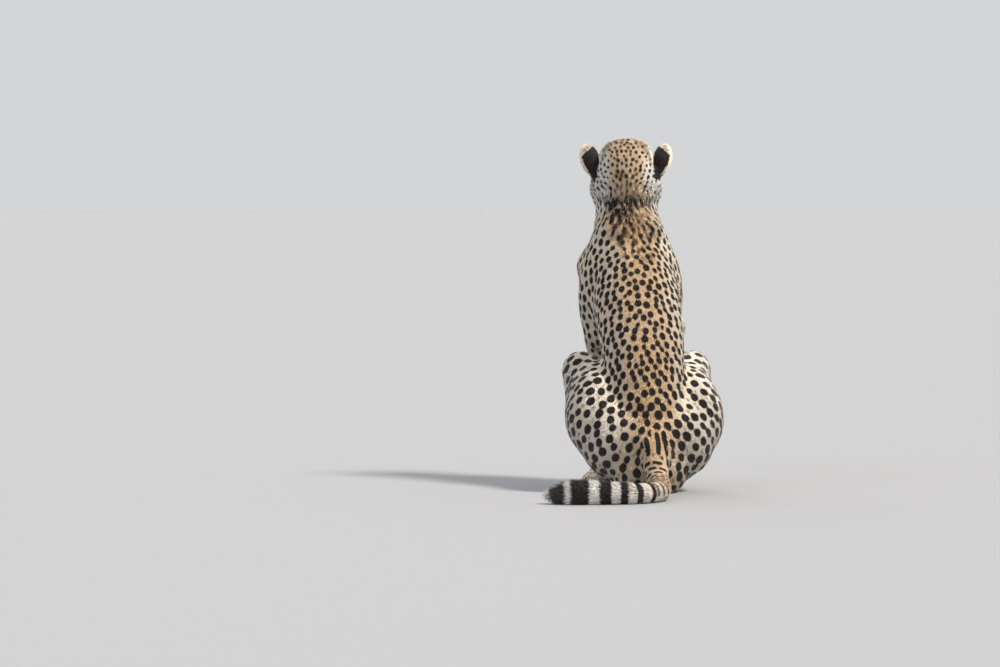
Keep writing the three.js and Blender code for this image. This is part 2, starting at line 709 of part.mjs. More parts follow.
const headCut = halfSpace(1, [0, 352, 736], [0, 0.41, 0.91]);
const neckCut = halfSpace(1, [0, 328, 640], [0, 0.54, 0.84]);
const tailCut = meet(halfSpace(1, [0, -72, 82], [0, -0.66, -0.75]), halfSpace(1, [0, -52, 0], [0, -1, 0]));

body = split(body, headCut)[1];
let neck;
[neck, body] = split(body, neckCut);
add("neck", neck);
body = biggest(split(body, tailCut)[1]);

[1, -1].forEach((side, i) => {
  const word = side > 0 ? "left" : "right";
  const across = (low, high) => (side > 0 ? [low, high] : [-high, -low]);

  const elbowCut = halfSpace(side, [0, 0, 350], [0, 0, 1]);
  const armRegion = meet(
    halfSpace(side, [66, 0, 0], [1, 0, 0]),
    halfSpace(side, [0, 232, 526], [0, 0.99, 0.12]),
    elbowCut,
  );
  let arm;
  [arm, body] = split(body, armRegion);
  const forearmRegion = meet(
    halfSpace(side, [109, 262, 0], [-0.576, 0.817, 0]),
    halfSpace(side, [30, 0, 0], [1, 0, 0]),
    halfSpace(side, [0, 0, 350], [0, 0, -1]),
  );
  body = split(body, forearmRegion)[1];
  add(`upper_foreleg_${word}`, arm);

  const armField = onTrunk([foreLegs[i], 28]);
  const wristCut = halfSpace(side, [0, 340, 98], [0, 0.1, 1]);
  const lower = made(armField, box(across(30, 140), [262, 390], [80, 366]), 6, 330);
  add(`lower_foreleg_${word}`, split(split(lower, elbowCut)[1], wristCut)[0]);
  const paw = made(armField, box(across(20, 130), [290, 440], [-12, 112]), 3.4, 500).intersect(ground);
  add(`forefoot_${word}`, clawSolids(side, foreKnuckle, ...forePaw).reduce(joined, split(paw, wristCut)[1]));

  const thighRegion = meet(
    halfSpace(side, [45, 0, 0], [1, -0.283, 0]),
    halfSpace(side, [90, 0, 244], [0.5, 0.47, -1]),
  );
  let thigh;
  [thigh, body] = split(body, thighRegion);
  const calfCut = halfSpace(side, [120, 140, 142], [0.25, 0.5, 0.82]);
  const shin = sink(lowerHindLegField(side));
  const shank = made(shin, box(across(50, 190), [50, 215], [-12, 210]), 5, 460);
  const foot = made(shin, box(across(40, 150), [90, 360], [-12, 90]), 3.4, 540);
  const ankleCut = meet(halfSpace(side, [0, 124, 0], [0, 1, 0]), halfSpace(side, [0, 0, 84], [0, 0, -1]));
  add(`shank_${word}`, split(split(shank.intersect(ground), calfCut)[1], ankleCut)[1]);
  const hindFoot = split(foot.intersect(ground), ankleCut)[0];
  add(`hindfoot_${word}`, clawSolids(side, hindKnuckle, ...hindPaw).reduce(joined, hindFoot));
  const roomy = (x, y, z) => shin(x, y, z) - 3.4;
  const lowerLegRoom = made(roomy, box(across(50, 190), [40, 215], [-12, 210]), 7, 360).subtract(calfCut(gap / 2));
  add(`thigh_${word}`, thigh.subtract(lowerLegRoom));
  body = body.subtract(lowerLegRoom);
});
add("torso", body);

const tailBox = box([-60, 350], [-400, -44], [-12, 120]);
let tailRest = split(made(onTrunk([tail, 30]), tailBox, 5.5, 740), tailCut)[0];
["tail_root", "tail_middle"].forEach((name, i) => {
  const here = between(tailLine, tailCuts[i]);
  const next = between(tailLine, tailCuts[i] + 0.1);
  const cut = halfSpace(1, here.slice(0, 3), [next[0] - here[0], next[1] - here[1], 0]);
  const [rest, piece] = split(tailRest, cut);
  add(name, piece.intersect(ground));
  tailRest = rest;
});

// A flat lock of hair that rises from its root and tapers to a point.
function lock(root, along, outward, { length, width, thickness, lift }) {
  const across = new THREE.Vector3().crossVectors(outward, along).normalize();
  const points = lockShape.flatMap(([reach, rise, size]) => {
    const centre = root.clone().addScaledVector(along, reach * length).addScaledVector(outward, rise * lift);
    const corners = [[across, width], [outward, thickness], [across, -width], [outward, -thickness]];
    return corners.map(([way, full]) => centre.clone().addScaledVector(way, (full * size) / 2));
  });
  const faces = [[0, 2, 1], [0, 3, 2]];
  for (let ring = 0; ring < points.length - 4; ring += 4)
    for (let i = 0; i < 4; i++) {
      const [a, b] = [ring + i, ring + ((i + 1) % 4)];
      faces.push([a, b, b + 4], [a, b + 4, a + 4]);
    }
  const end = points.length - 4;
  faces.push([end, end + 1, end + 2], [end, end + 2, end + 3]);
  return solidOfNet({ points, faces });
}

let seed = 11;
const random = () => {
  seed = (seed * 1103515245 + 12345) % 2147483648;
  return seed / 2147483648;
};
const skyward = new THREE.Vector3(0, 0, 1);
for (let i = 0; i < bush.locks; i++) {
  const share = ((i + 0.5) / bush.locks) ** 0.7;
  const t = bush.from + (tailLine.length - 1 - bush.from) * share;
  const turn = i * 2.4 + 0.5 * random(); // radians, so that neighbours never line up
  const [here, before] = [between(tailLine, t), between(tailLine, t - 0.1)];
  const along = at(1, here[0] - before[0], here[1] - before[1], here[2] - before[2]).normalize();
  const sideways = new THREE.Vector3().crossVectors(along, skyward).normalize();
  const outward = sideways.multiplyScalar(Math.cos(turn)).addScaledVector(skyward, Math.sin(turn));
  const root = at(1, here[0], here[1], here[2] - floorSink).addScaledVector(outward, here[3] - 6);
  const length = bush.length * (0.85 + 0.3 * random());
  const width = bush.width * (0.85 + 0.3 * random()) * (1 - 0.3 * share);
  const lift = bush.lift * (0.5 + 2 * share * (1 - share));
  tailRest = tailRest.add(lock(root, along, outward, { ...bush, length, width, lift }));
}
add("tail_end", tailRest.intersect(ground));

// ---------------------------------------------------------------- the head's pieces
const headMove = (geometry) => geometry.applyMatrix4(headFrame);
const inHead = (side, point) => at(side, ...point).applyMatrix4(headFrame);
const inHeadRegion = (side, point, way) => (inset) => {
  const direction = at(side, ...way).transformDirection(headFrame);
  return beyond(inHead(side, point).addScaledVector(direction, inset), direction);
};
const headMiddle = inHead(1, [0, 0, 0]);
const headAhead = inHead(1, [0, 1, 0]).sub(headMiddle);
// How much the thinning spares the head's surface: most around the eyes, nose and mouth.
const care = (p) => THREE.MathUtils.clamp((p.clone().sub(headMiddle).dot(headAhead) - 30) / 6, 1, 9);

const headBox = box([-150, 150], [250, 520], [690, 900]);
const headFlesh = onTrunk([head, 30], [foreLegs[0], 28], [foreLegs[1], 28]);
let headSolid = split(made(headFlesh, headBox, 3, 3030, care), headCut)[0];

bothSides((side) => {
  const word = side > 0 ? "left" : "right";
  const lean = new THREE.Euler(0, THREE.MathUtils.degToRad(ear.lean * side), 0);
  const earFrame = new THREE.Matrix4().makeRotationFromEuler(lean).setPosition(at(side, 98, -2, 34));
  earFrame.premultiply(headFrame);
  const earCut = (inset) => eggSolid([38 - inset, 34 - inset, 49 - inset], earFrame);
  headSolid = split(headSolid, earCut)[1];
  const earNet = netOf(sink(head), ...cubeAround(inHead(side, [90, -4, 27]), 60), 2.4);
  add(`ear_${word}`, split(solidOfNet(thinned(earNet, 500)), earCut)[0], darkCoat);

  const centre = inHead(side, [eye.out, eye.ahead, eye.up - floorSink]);
  const ball = (r) => solidOf(new THREE.SphereGeometry(r, 16, 10).translate(...centre));
  add(`eye_${word}`, ball(eye.radius), cornea);
  headSolid = headSolid.subtract(ball(eye.radius + gap));
  const almond = new THREE.Shape();
  almond.moveTo(-18 * side, -8);
  almond.quadraticCurveTo(-6 * side, 27, 17 * side, 4);
  almond.quadraticCurveTo(7 * side, -22, -18 * side, -8);
  const opening = new THREE.ExtrudeGeometry(almond, { depth: 30, bevelEnabled: false, curveSegments: 9 });
  opening.rotateX(Math.PI / 2).rotateZ(THREE.MathUtils.degToRad(20) * side);
  opening.translate(...at(side, eye.out, eye.ahead, eye.up - floorSink));
  headSolid = headSolid.subtract(solidOf(headMove(opening)));
});

const nosePlace = inHead(1, [0, 128, -20]);
const noseThin = thinned(netOf(sink(inHeadFrame(noseField())), ...cubeAround(nosePlace, 34), 1.5), 320);
let nose = solidOfNet(noseThin);
headSolid = headSolid.subtract(solidOfNet(grown(noseThin, gap)));
bothSides((side) => {
  const lips = sink(inHeadFrame(lipField(headAlone, side)));
  headSolid = headSolid.subtract(made(lips, cubeAround(inHead(1, [0, 100, -45]), 60), 1.3, 260));
  const nostril = sink(inHeadFrame(nostrilField(side)));
  nose = nose.subtract(made(nostril, cubeAround(nosePlace, 34), 1, 60));
});
add("nose", nose, noseLeather);
add("head", headSolid);

// The origin is the middle of the footprint, on the ground.
const bounds = new THREE.Box3().setFromObject(group);
const shift = new THREE.Vector3(-(bounds.min.x + bounds.max.x) / 2, -(bounds.min.y + bounds.max.y) / 2, 0);
for (const mesh of group.children) mesh.geometry.translate(...shift);

export default group;
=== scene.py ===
import bpy
import json
import math
import time
from itertools import product

import numpy as np
from mathutils import Matrix, Vector
from mathutils.bvhtree import BVHTree
from mathutils.kdtree import KDTree

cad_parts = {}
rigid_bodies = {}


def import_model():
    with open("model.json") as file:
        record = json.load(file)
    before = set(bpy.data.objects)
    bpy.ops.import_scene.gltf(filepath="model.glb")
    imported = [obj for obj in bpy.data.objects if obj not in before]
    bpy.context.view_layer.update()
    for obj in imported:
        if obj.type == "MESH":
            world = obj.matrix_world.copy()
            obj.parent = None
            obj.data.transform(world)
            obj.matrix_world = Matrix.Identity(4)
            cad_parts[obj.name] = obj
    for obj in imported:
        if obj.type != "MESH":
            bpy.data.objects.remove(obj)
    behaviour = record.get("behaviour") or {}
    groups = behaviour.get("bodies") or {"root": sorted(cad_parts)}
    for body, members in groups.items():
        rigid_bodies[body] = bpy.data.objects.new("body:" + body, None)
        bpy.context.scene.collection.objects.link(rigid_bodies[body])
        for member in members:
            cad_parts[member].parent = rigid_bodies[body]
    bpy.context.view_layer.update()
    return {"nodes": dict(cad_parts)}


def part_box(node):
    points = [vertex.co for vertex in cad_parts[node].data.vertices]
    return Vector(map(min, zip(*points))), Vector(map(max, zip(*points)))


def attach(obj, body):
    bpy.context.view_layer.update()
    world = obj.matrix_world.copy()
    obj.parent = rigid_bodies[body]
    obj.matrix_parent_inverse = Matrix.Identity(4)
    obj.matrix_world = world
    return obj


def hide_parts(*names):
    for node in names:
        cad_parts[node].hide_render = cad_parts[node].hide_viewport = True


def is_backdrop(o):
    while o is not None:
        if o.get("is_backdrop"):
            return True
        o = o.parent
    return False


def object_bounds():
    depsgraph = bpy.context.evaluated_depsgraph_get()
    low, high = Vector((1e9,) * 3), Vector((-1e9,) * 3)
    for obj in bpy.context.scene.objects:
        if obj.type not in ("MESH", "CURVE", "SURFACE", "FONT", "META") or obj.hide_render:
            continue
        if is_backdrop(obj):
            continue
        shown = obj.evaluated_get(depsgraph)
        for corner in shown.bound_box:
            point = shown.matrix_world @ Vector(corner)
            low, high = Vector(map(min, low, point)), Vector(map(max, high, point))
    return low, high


startTime = time.time()
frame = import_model()
randomDraw = np.random.default_rng(41)
mm = 0.001
sides = ((1, "left"), (-1, "right"))


def report(words):
    print(f"{time.time() - startTime:6.1f} s  {words}", flush=True)


# Where the head is and what stands on it, as the solids have it: mm and degrees.
headSizes = {
    "turn": -10,  # to its right
    "nod": 2,
    "middle": (0, 364, 806),  # out, ahead and up, before the model is centred
    "eyeOut": 33,
    "eyeAhead": 71,
    "eyeUp": 2.5,
    "eyeRadius": 17.5,
    "earOut": 94,
    "earAhead": -4,
    "earUp": 27,
    "earLean": 14,
    "earFacing": 34,
}
headTurn = Matrix.Rotation(math.radians(headSizes["turn"]), 3, "Z")
headTurn = headTurn @ Matrix.Rotation(math.radians(headSizes["nod"]), 3, "X")
settled = 2.5  # mm by which the heights given for the body count from below the floor


def middleOf(node):
    low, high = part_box(node)
    return (low + high) / 2


eyeOffset = Vector((headSizes["eyeOut"], -headSizes["eyeAhead"], headSizes["eyeUp"])) * mm
headMiddle = middleOf("eye_left") - headTurn @ eyeOffset
bodyShift = headMiddle - Vector((0, -headSizes["middle"][1], headSizes["middle"][2])) * mm
bodyShift.z = -settled * mm


# Places are given out from the middle to the animal's left (side 1) or right (-1), ahead and up.
def headPlace(side, out, ahead, up):
    return headMiddle + headTurn @ Vector((side * out, -ahead, up)) * mm


def bodyPlace(side, out, ahead, up):
    return bodyShift + Vector((side * out, -ahead, up)) * mm


def headFacing(side, degrees):
    # The way forward from the head, turned outward by so many degrees.
    return headTurn @ Matrix.Rotation(math.radians(degrees * side), 3, "Z") @ Vector((0, -1, 0))


def earWays(side):
    # Where the cup of an ear faces, the way up along it and the way out across it.
    lean = math.radians(headSizes["earLean"])
    rise = headTurn @ Vector((side * math.sin(lean), 0, math.cos(lean)))
    outward = headTurn @ Vector((side * math.cos(lean), 0, -math.sin(lean)))
    return np.array(headFacing(side, headSizes["earFacing"])), np.array(rise), np.array(outward)


# The middle line of the tail: out, ahead, up and radius in mm.
tailLine = [
    (0, -2, 138, 38),
    (0, -52, 104, 34),
    (2, -92, 58, 30),
    (6, -136, 33, 29),
    (12, -196, 28, 27),
    (30, -262, 26, 26),
    (78, -312, 26, 26),
    (140, -326, 27, 27),
    (192, -323, 28, 27),
    (234, -318, 28, 26),
    (264, -313, 27, 20),
    (284, -309, 26, 13),
    (300, -307, 25, 4),
]


def smoothRows(rows, count):
    # So many rows along the smooth curve through the given ones.
    rows = np.array(rows, float)
    made = []
    for t in np.linspace(0, len(rows) - 1, count):
        i = min(int(t), len(rows) - 2)
        f = t - i
        p, q, r, s = (rows[min(max(k, 0), len(rows) - 1)] for k in (i - 1, i, i + 1, i + 2))
        bend = 2 * p - 5 * q + 4 * r - s + f * (3 * (q - r) + s - p)
        made.append(q + 0.5 * f * (r - p + f * bend))
    return np.array(made)


tailRows = smoothRows(tailLine, 145)
tailPoints = np.array([bodyPlace(1, *row[:3]) for row in tailRows])
tailTangents = np.gradient(tailPoints, axis=0)
tailTangents /= np.linalg.norm(tailTangents, axis=1)[:, None]
tailSteps = np.linalg.norm(np.diff(tailPoints, axis=0), axis=1)
tailHair = 0.032  # from the end of the tail's line to the tips of its hair
tailFromTip = np.append(np.cumsum(tailSteps[::-1])[::-1], 0) + tailHair


def treeOf(places):
    tree = KDTree(len(places))
    for i, place in enumerate(places):
        tree.insert(place, i)
    tree.balance()
    return tree


def nearestIn(tree, places):
    return np.array([tree.find(Vector(p))[1] for p in places], int)


def awayFrom(places, middle):
    return np.linalg.norm(places - np.array(middle), axis=1)


def deselectAll():
    for thing in bpy.data.objects:
        thing.select_set(False)


def makeActive(thing):
    deselectAll()
    thing.select_set(True)
    bpy.context.view_layer.objects.active = thing


def applied(thing, kind, **settings):
    makeActive(thing)
    modifier = thing.modifiers.new(kind.lower(), kind)
    for name, value in settings.items():
        setattr(modifier, name, value)
    bpy.ops.object.modifier_apply(modifier=modifier.name)


def copyOf(node, name):
    thing = frame["nodes"][node].copy()
    thing.data = thing.data.copy()
    thing.parent = None
    thing.name = name
    thing.data.materials.clear()
    bpy.context.scene.collection.objects.link(thing)
    applied(thing, "WELD", merge_threshold=1e-6)
    return thing


def joinedAs(name, things):
    deselectAll()
    for thing in things:
        thing.select_set(True)
    bpy.context.view_layer.objects.active = things[0]
    bpy.ops.object.join()
    made = bpy.context.active_object
    made.name = name
    return made


# The skin is one closed surface over every node of flesh.
skinSizes = {
    "swelling": 0.35 * mm,  # closes the gaps between the nodes
    "voxel": 1.6 * mm,
    "smoothing": 260,
    "lastSmoothing": 2,
    "triangles": 188000,
}
fleshNodes = [n for n in frame["nodes"] if not n.startswith(("eye", "nose"))]


def tailCore(rows, thinner):
    # A smooth length of tail, thinner than the line's radius by so many mm.
    deselectAll()
    bpy.ops.curve.primitive_nurbs_path_add(location=(0, 0, 0))
    thing = bpy.context.active_object
    curve = thing.data
    curve.splines.clear()
    spline = curve.splines.new("POLY")
    spline.points.add(len(rows) - 1)
    for point, i in zip(spline.points, rows):
        point.co = (*tailPoints[i], 1)
        point.radius = max(tailRows[i][3] - thinner, 3) * mm
    curve.bevel_depth = 1
    curve.bevel_resolution = 6
    curve.use_fill_caps = True
    curve.dimensions = "3D"
    bpy.ops.object.convert(target="MESH")
    return thing


def makeSkin():
    copies = []
    for name in fleshNodes:
        if name != "tail_end":
            copy = copyOf(name, "flesh_" + name)
            applied(copy, "DISPLACE", strength=skinSizes["swelling"], mid_level=0)
            copies.append(copy)
    copies.append(tailCore(range(8, 33, 3), 1))  # rounds the joint of tail and rump
    copies.append(tailCore(range(68, 145, 3), 3))  # under the bush
    thing = joinedAs("skin", copies)
    thing.data.name = "skin"
    applied(thing, "REMESH", mode="VOXEL", voxel_size=skinSizes["voxel"], adaptivity=0)
    return thing


def pointsOf(mesh):
    points = np.empty(len(mesh.vertices) * 3, np.float32)
    mesh.vertices.foreach_get("co", points)
    return points.reshape(-1, 3).astype(float)


def normalsOf(mesh):
    normals = np.empty(len(mesh.vertices) * 3, np.float32)
    mesh.vertex_normals.foreach_get("vector", normals)
    return normals.reshape(-1, 3).astype(float)


def movePoints(mesh, points):
    mesh.vertices.foreach_set("co", points.astype(np.float32).ravel())
    mesh.update()


def setGroup(thing, name, weights):
    # In twentieths, so that all places with the same weight go in together.
    group = thing.vertex_groups.new(name=name)
    levels = np.round(np.clip(weights, 0, 1) * 20).astype(int)
    for level in np.unique(levels):
        group.add(np.flatnonzero(levels == level).tolist(), level / 20, "REPLACE")


# Which node each place on the skin belongs to.
nodeIndex = {name: i for i, name in enumerate(fleshNodes)}


def nodeTree():
    points, faces, owners = [], [], []
    for name in fleshNodes:
        mesh = frame["nodes"][name].data
        start = len(points)
        points.extend(v.co.copy() for v in mesh.vertices)
        faces.extend([start + i for i in p.vertices] for p in mesh.polygons)
        owners.extend([nodeIndex[name]] * len(mesh.polygons))
    return BVHTree.FromPolygons(points, faces), np.array(owners)


fleshTree, fleshOwners = nodeTree()


def ownersOf(points):
    return np.array([fleshOwners[fleshTree.find_nearest(Vector(p))[2]] for p in points])


def isOneOf(owner, *words):
    wanted = [i for name, i in nodeIndex.items() if name.startswith(words)]
    return np.isin(owner, wanted)


def step(low, high, value):
    # From 0 at low to 1 at high with soft ends; low may be the larger.
    t = np.clip((value - low) / (high - low), 0, 1)
    return t * t * (3 - 2 * t)


def wobble(places, size, seed):
    # Smooth noise without a pattern's repeat, from a few waves that run at odd angles.
    draw = np.random.default_rng(seed)
    total = np.zeros(len(places))
    for _ in range(7):
        way = draw.normal(size=3)
        way /= np.linalg.norm(way)
        pace = 0.7 + 0.6 * draw.random()
        total += np.sin(places @ way * (2 * math.pi / size) * pace + draw.random() * 7)
    return total / 3.7


def inHead(points):
    back = np.array(headTurn.transposed())
    local = (points - np.array(headMiddle)) @ back.T / mm
    return local[:, 0], -local[:, 1], local[:, 2]  # out to its left, ahead, up


def eyeDistance(points):
    return np.minimum(*[awayFrom(points, middleOf("eye_" + word)) for _, word in sides]) / mm


def meshEdges(mesh):
    edges = np.empty(len(mesh.edges) * 2, np.int32)
    mesh.edges.foreach_get("vertices", edges)
    return edges.reshape(-1, 2)


def spread(values, edges, rounds):
    # Each round moves a point's values halfway to the mean of its neighbours'.
    count = len(values)
    degree = np.bincount(edges.ravel(), minlength=count)[:, None]
    for _ in range(rounds):
        total = np.empty_like(values)
        for c in range(values.shape[1]):
            total[:, c] = np.bincount(edges[:, 0], values[edges[:, 1], c], count)
            total[:, c] += np.bincount(edges[:, 1], values[edges[:, 0], c], count)
        values = values + 0.5 * (total / degree - values)
    return values


pawSizes = {
    # below the knuckles, out and ahead, in mm; degrees that it turns outward
    "fore": {"knuckle": (64, 362), "size": 41, "splay": 3},
    "hind": {"knuckle": (94, 268), "size": 40, "splay": 3},
}
toeShares = {
    # of the paw's size
    "spacing": 0.41,
    "middle": 1.14,  # how far the two middle toes reach, and the outer ones
    "outer": 0.87,
    "clawUp": 0.25,  # the height of a claw's root, and of its tip
    "tipUp": 0.05,
    "tipSpacing": 0.4,
}
toeFold = {"depth": 4.2, "width": 2.3}  # mm
clawSizes = {"ahead": 3.5, "length": 12.5, "root": 3.3, "tip": 0.6, "curve": 3}  # mm


def clawEnds():
    # The root and the tip of each claw.
    ends = []
    for paw in pawSizes.values():
        turn, size = math.radians(paw["splay"]), paw["size"]
        for side, _ in sides:
            for toe in (-1.5, -0.5, 0.5, 1.5):
                share = toeShares["middle" if abs(toe) < 1 else "outer"]
                reach = size * share + clawSizes["ahead"]
                root = (toe * size * toeShares["spacing"], reach, size * toeShares["clawUp"])
                aside, end = toe * size * toeShares["tipSpacing"], reach + clawSizes["length"]
                tip = (aside, end, size * toeShares["tipUp"])
                pair = []
                for across, forward, up in (root, tip):
                    out = paw["knuckle"][0] + across * math.cos(turn) + forward * math.sin(turn)
                    ahead = paw["knuckle"][1] + forward * math.cos(turn) - across * math.sin(turn)
                    pair.append(bodyPlace(side, out, ahead, up + settled))
                ends.append(pair)
    return ends


def clawDistance(places):
    nearest = np.full(len(places), 99.0)
    for root, tip in clawEnds():
        root, way = np.array(root), np.array(tip - root)
        share = np.clip((places - root) @ way / (way @ way), 0.3, 1.6)
        away = np.linalg.norm(places - root - share[:, None] * way, axis=1) / mm
        nearest = np.minimum(nearest, away)
    return nearest


def toeFolds(places):
    # 1 in the folds between the toes, falling to 0 beside them.
    out = (places[:, 0] - bodyShift.x) / mm
    ahead = (bodyShift.y - places[:, 1]) / mm
    folds = np.zeros(len(places))
    for paw in pawSizes.values():
        turn, size, spacing = math.radians(paw["splay"]), paw["size"], toeShares["spacing"]
        for side, _ in sides:
            right, front = side * out - paw["knuckle"][0], ahead - paw["knuckle"][1]
            across = (right * math.cos(turn) - front * math.sin(turn)) / (size * spacing)
            forward = (right * math.sin(turn) + front * math.cos(turn)) / size
            away = np.abs(across - np.round(across)) * size * spacing
            fold = np.exp(-((away / toeFold["width"]) ** 2)) * (np.abs(across) < 1.5)
            folds = np.maximum(folds, fold * step(0.3, 0.75, forward) * step(1.7, 1.5, forward))
    return folds * step(0.07, 0.05, places[:, 2])


skin = makeSkin()
report(f"skin joined and remeshed, {len(skin.data.polygons)} faces")

# How much each place may be smoothed: freely on the body, little where the shapes are small.
points = pointsOf(skin.data)
out, ahead, up = inHead(points)
nearHead = step(150, 100, np.sqrt(out**2 + ahead**2 + up**2))
face = nearHead * step(10, 40, ahead)
lids = step(40, 30, eyeDistance(points))
earAway = np.minimum(*[awayFrom(points, middleOf("ear_" + word)) for _, word in sides])
ears = step(0.055, 0.045, earAway)
lowDown = step(0.09, 0.06, points[:, 2]) * step(-0.02, -0.06, points[:, 1])
leg = step(0.4, 0.33, points[:, 2]) * step(-0.15, -0.19, points[:, 1]) * (1 - lowDown)
tailFree = step(0.17, 0.21, points[:, 1])
held = np.maximum.reduce([0.82 * nearHead, 0.93 * face, 0.99 * lids, 0.94 * ears])
held = np.maximum.reduce([held, 0.9 * lowDown, 0.7 * leg, 0.6 * tailFree])
setGroup(skin, "free", 1 - held)
applied(skin, "SMOOTH", factor=0.5, iterations=skinSizes["smoothing"], vertex_group="free")
points, normals = pointsOf(skin.data), normalsOf(skin.data)
folds = toeFolds(points)
movePoints(skin.data, points - normals * (folds * toeFold["depth"] * mm)[:, None])
# The triangles come out smallest on the face: the share by which a place gives up its edges.
toes = lowDown * step(0.06, 0.045, points[:, 2])
fineness = np.maximum.reduce([face, 0.55 * nearHead, 0.6 * ears])
fineness = np.maximum.reduce([fineness, 0.6 * lowDown, 0.85 * toes, 0.25 * leg])
setGroup(skin, "coarse", 0.7 * (1 - fineness))
facesNow = len(skin.data.polygons) * 2
applied(
    skin,
    "DECIMATE",
    ratio=skinSizes["triangles"] / facesNow,
    vertex_group="coarse",
    vertex_group_factor=1,
)
applied(skin, "SMOOTH", factor=0.5, iterations=skinSizes["lastSmoothing"], vertex_group="free")
applied(skin, "TRIANGULATE")
skin.vertex_groups.clear()
report(f"skin smoothed and thinned to {len(skin.data.polygons)} triangles")

# What grows where on the skin.
coatKinds = {
    # hair length, width of a tuft, lift, tufts to a square centimetre, depth of the coat; mm
    "head": (8, 1.8, 0.2, 34, 2.6),
    "ear": (4.5, 1.3, 0.16, 44, 0.7),
    "neck": (13, 2.2, 0.22, 29, 2.8),
    "torso": (12.5, 2.4, 0.15, 25, 2),
    "upper_foreleg": (11.5, 2.3, 0.15, 24, 1.8),
    "lower_foreleg": (7.5, 2, 0.12, 27, 2.4),
    "forefoot": (4.6, 1.5, 0.12, 36, 1.2),
    "hindfoot": (4.6, 1.5, 0.12, 36, 1.2),
    "thigh": (12.5, 2.4, 0.15, 26, 1.8),
    "shank": (10.5, 2.3, 0.15, 25, 3),
    "tail_root": (9, 2.1, 0.18, 32, 2.4),
    "tail_middle": (10, 2.2, 0.2, 32, 2.4),
    "tail_end": (22, 3.0, 0.3, 28, 1),
}
hairLength, tuftWidth, hairLift, growth, coatDepth = range(5)  # the columns of such a row


def rowsOf(kinds, owner):
    rows = np.zeros((len(owner), len(kinds["head"])))
    for name, kind in kinds.items():
        rows[isOneOf(owner, name)] = kind
    return rows


points = pointsOf(skin.data)
edges = meshEdges(skin.data)
owner = ownersOf(points)
sideways = points[:, 0] - bodyShift.x
report("skin sorted by node")
coat = spread(rowsOf(coatKinds, owner), edges, 10)
out, ahead, up = inHead(points)
fromEye = eyeDistance(points)
isHead = isOneOf(owner, "head", "nose")
nearEye = isHead * step(34, 22, fromEye) * step(40, 60, ahead)
onFace = np.maximum(isHead * step(30, 62, ahead), nearEye)
coat[:, hairLength] = coat[:, hairLength] * (1 - 0.5 * onFace) - nearEye * 1.2
coat[:, tuftWidth] *= 1 - 0.38 * onFace
coat[:, hairLift] *= 1 - 0.3 * onFace
coat[:, growth] *= 1 + 0.85 * onFace
coat[:, coatDepth] *= (1 - 0.62 * onFace) * (1 - nearEye)


# A wisp of pale belly hair that stands out at the right waist, in m.
wispSizes = {"ahead": 0.1, "up": 0.42, "slope": 0.2, "halfLength": 0.05, "halfHeight": 0.017}


def flankOf(places, owner):
    back = places[:, 1] + wispSizes["ahead"]
    high = places[:, 2] - wispSizes["up"] - wispSizes["slope"] * back
    away = np.hypot(back / wispSizes["halfLength"], high / wispSizes["halfHeight"])
    wisp = step(1.2, 0.45, away + 0.3 * wobble(places, 0.03, 23))
    return wisp * isOneOf(owner, "torso") * (places[:, 0] < bodyShift.x)


# Longer hair: the ruff of the cheeks, the short mantle behind the head, the breast and belly.
ruff = isHead * step(-10, -30, up) * step(40, 52, np.abs(out)) * step(70, 30, ahead)
mantle = isOneOf(owner, "neck", "torso", "head") * step(0.62, 0.66, points[:, 2])
mantle = mantle * step(0.8, 0.74, points[:, 2]) * step(0.085, 0.035, np.abs(sideways))
normals = normalsOf(skin.data)
mantle = mantle * step(0.1, 0.5, normals[:, 1])
breast = isOneOf(owner, "neck", "torso", "upper_foreleg") * step(0.2, 0.7, -normals[:, 1])
breast = breast * (points[:, 2] > 0.3)
belly = isOneOf(owner, "torso") * step(0.1, 0.6, -normals[:, 1]) * (points[:, 2] < 0.42)
# Fluffier hair fills the corners between the crown and the ears.
crownSide = isHead * step(30, 44, np.abs(out)) * step(4, 22, up) * step(46, 26, np.abs(ahead))
underHead = isHead * step(-34, -62, up) * step(64, 24, ahead)
longer = np.maximum.reduce([0.7 * ruff, mantle, 0.5 * breast, 0.7 * belly])
longer = np.maximum.reduce([longer, crownSide, 0.8 * underHead])
coat[:, hairLength] *= 1 + 0.6 * longer
coat[:, tuftWidth] *= 1 + 0.15 * longer
coat[:, hairLift] *= 1 + 0.7 * mantle + 0.4 * ruff + 0.2 * breast + 0.7 * crownSide
flank = flankOf(points, owner)
coat[:, hairLength] *= 1 + 0.6 * flank
coat[:, hairLift] += 0.2 * flank
for side, word in sides:
    inEar = isOneOf(owner, "ear_" + word) * step(0.6, 0.9, normals @ earWays(side)[0])
    inEar = inEar * step(18, -4, up - headSizes["earUp"])
    coat[:, hairLength] += 6 * inEar
    coat[:, hairLift] += 0.16 * inEar
    coat[:, growth] -= 16 * inEar
tailEndShare = isOneOf(owner, "tail_end").astype(float)
alongTail = treeOf(tailPoints)
tailSpot = nearestIn(alongTail, points)
fromTip = tailFromTip[tailSpot]
bushy = tailEndShare * step(0.2, 0.11, fromTip)
coat[:, hairLength] += bushy * 9
coat[:, tuftWidth] += bushy * 0.9
coat[:, hairLift] += bushy * 0.1

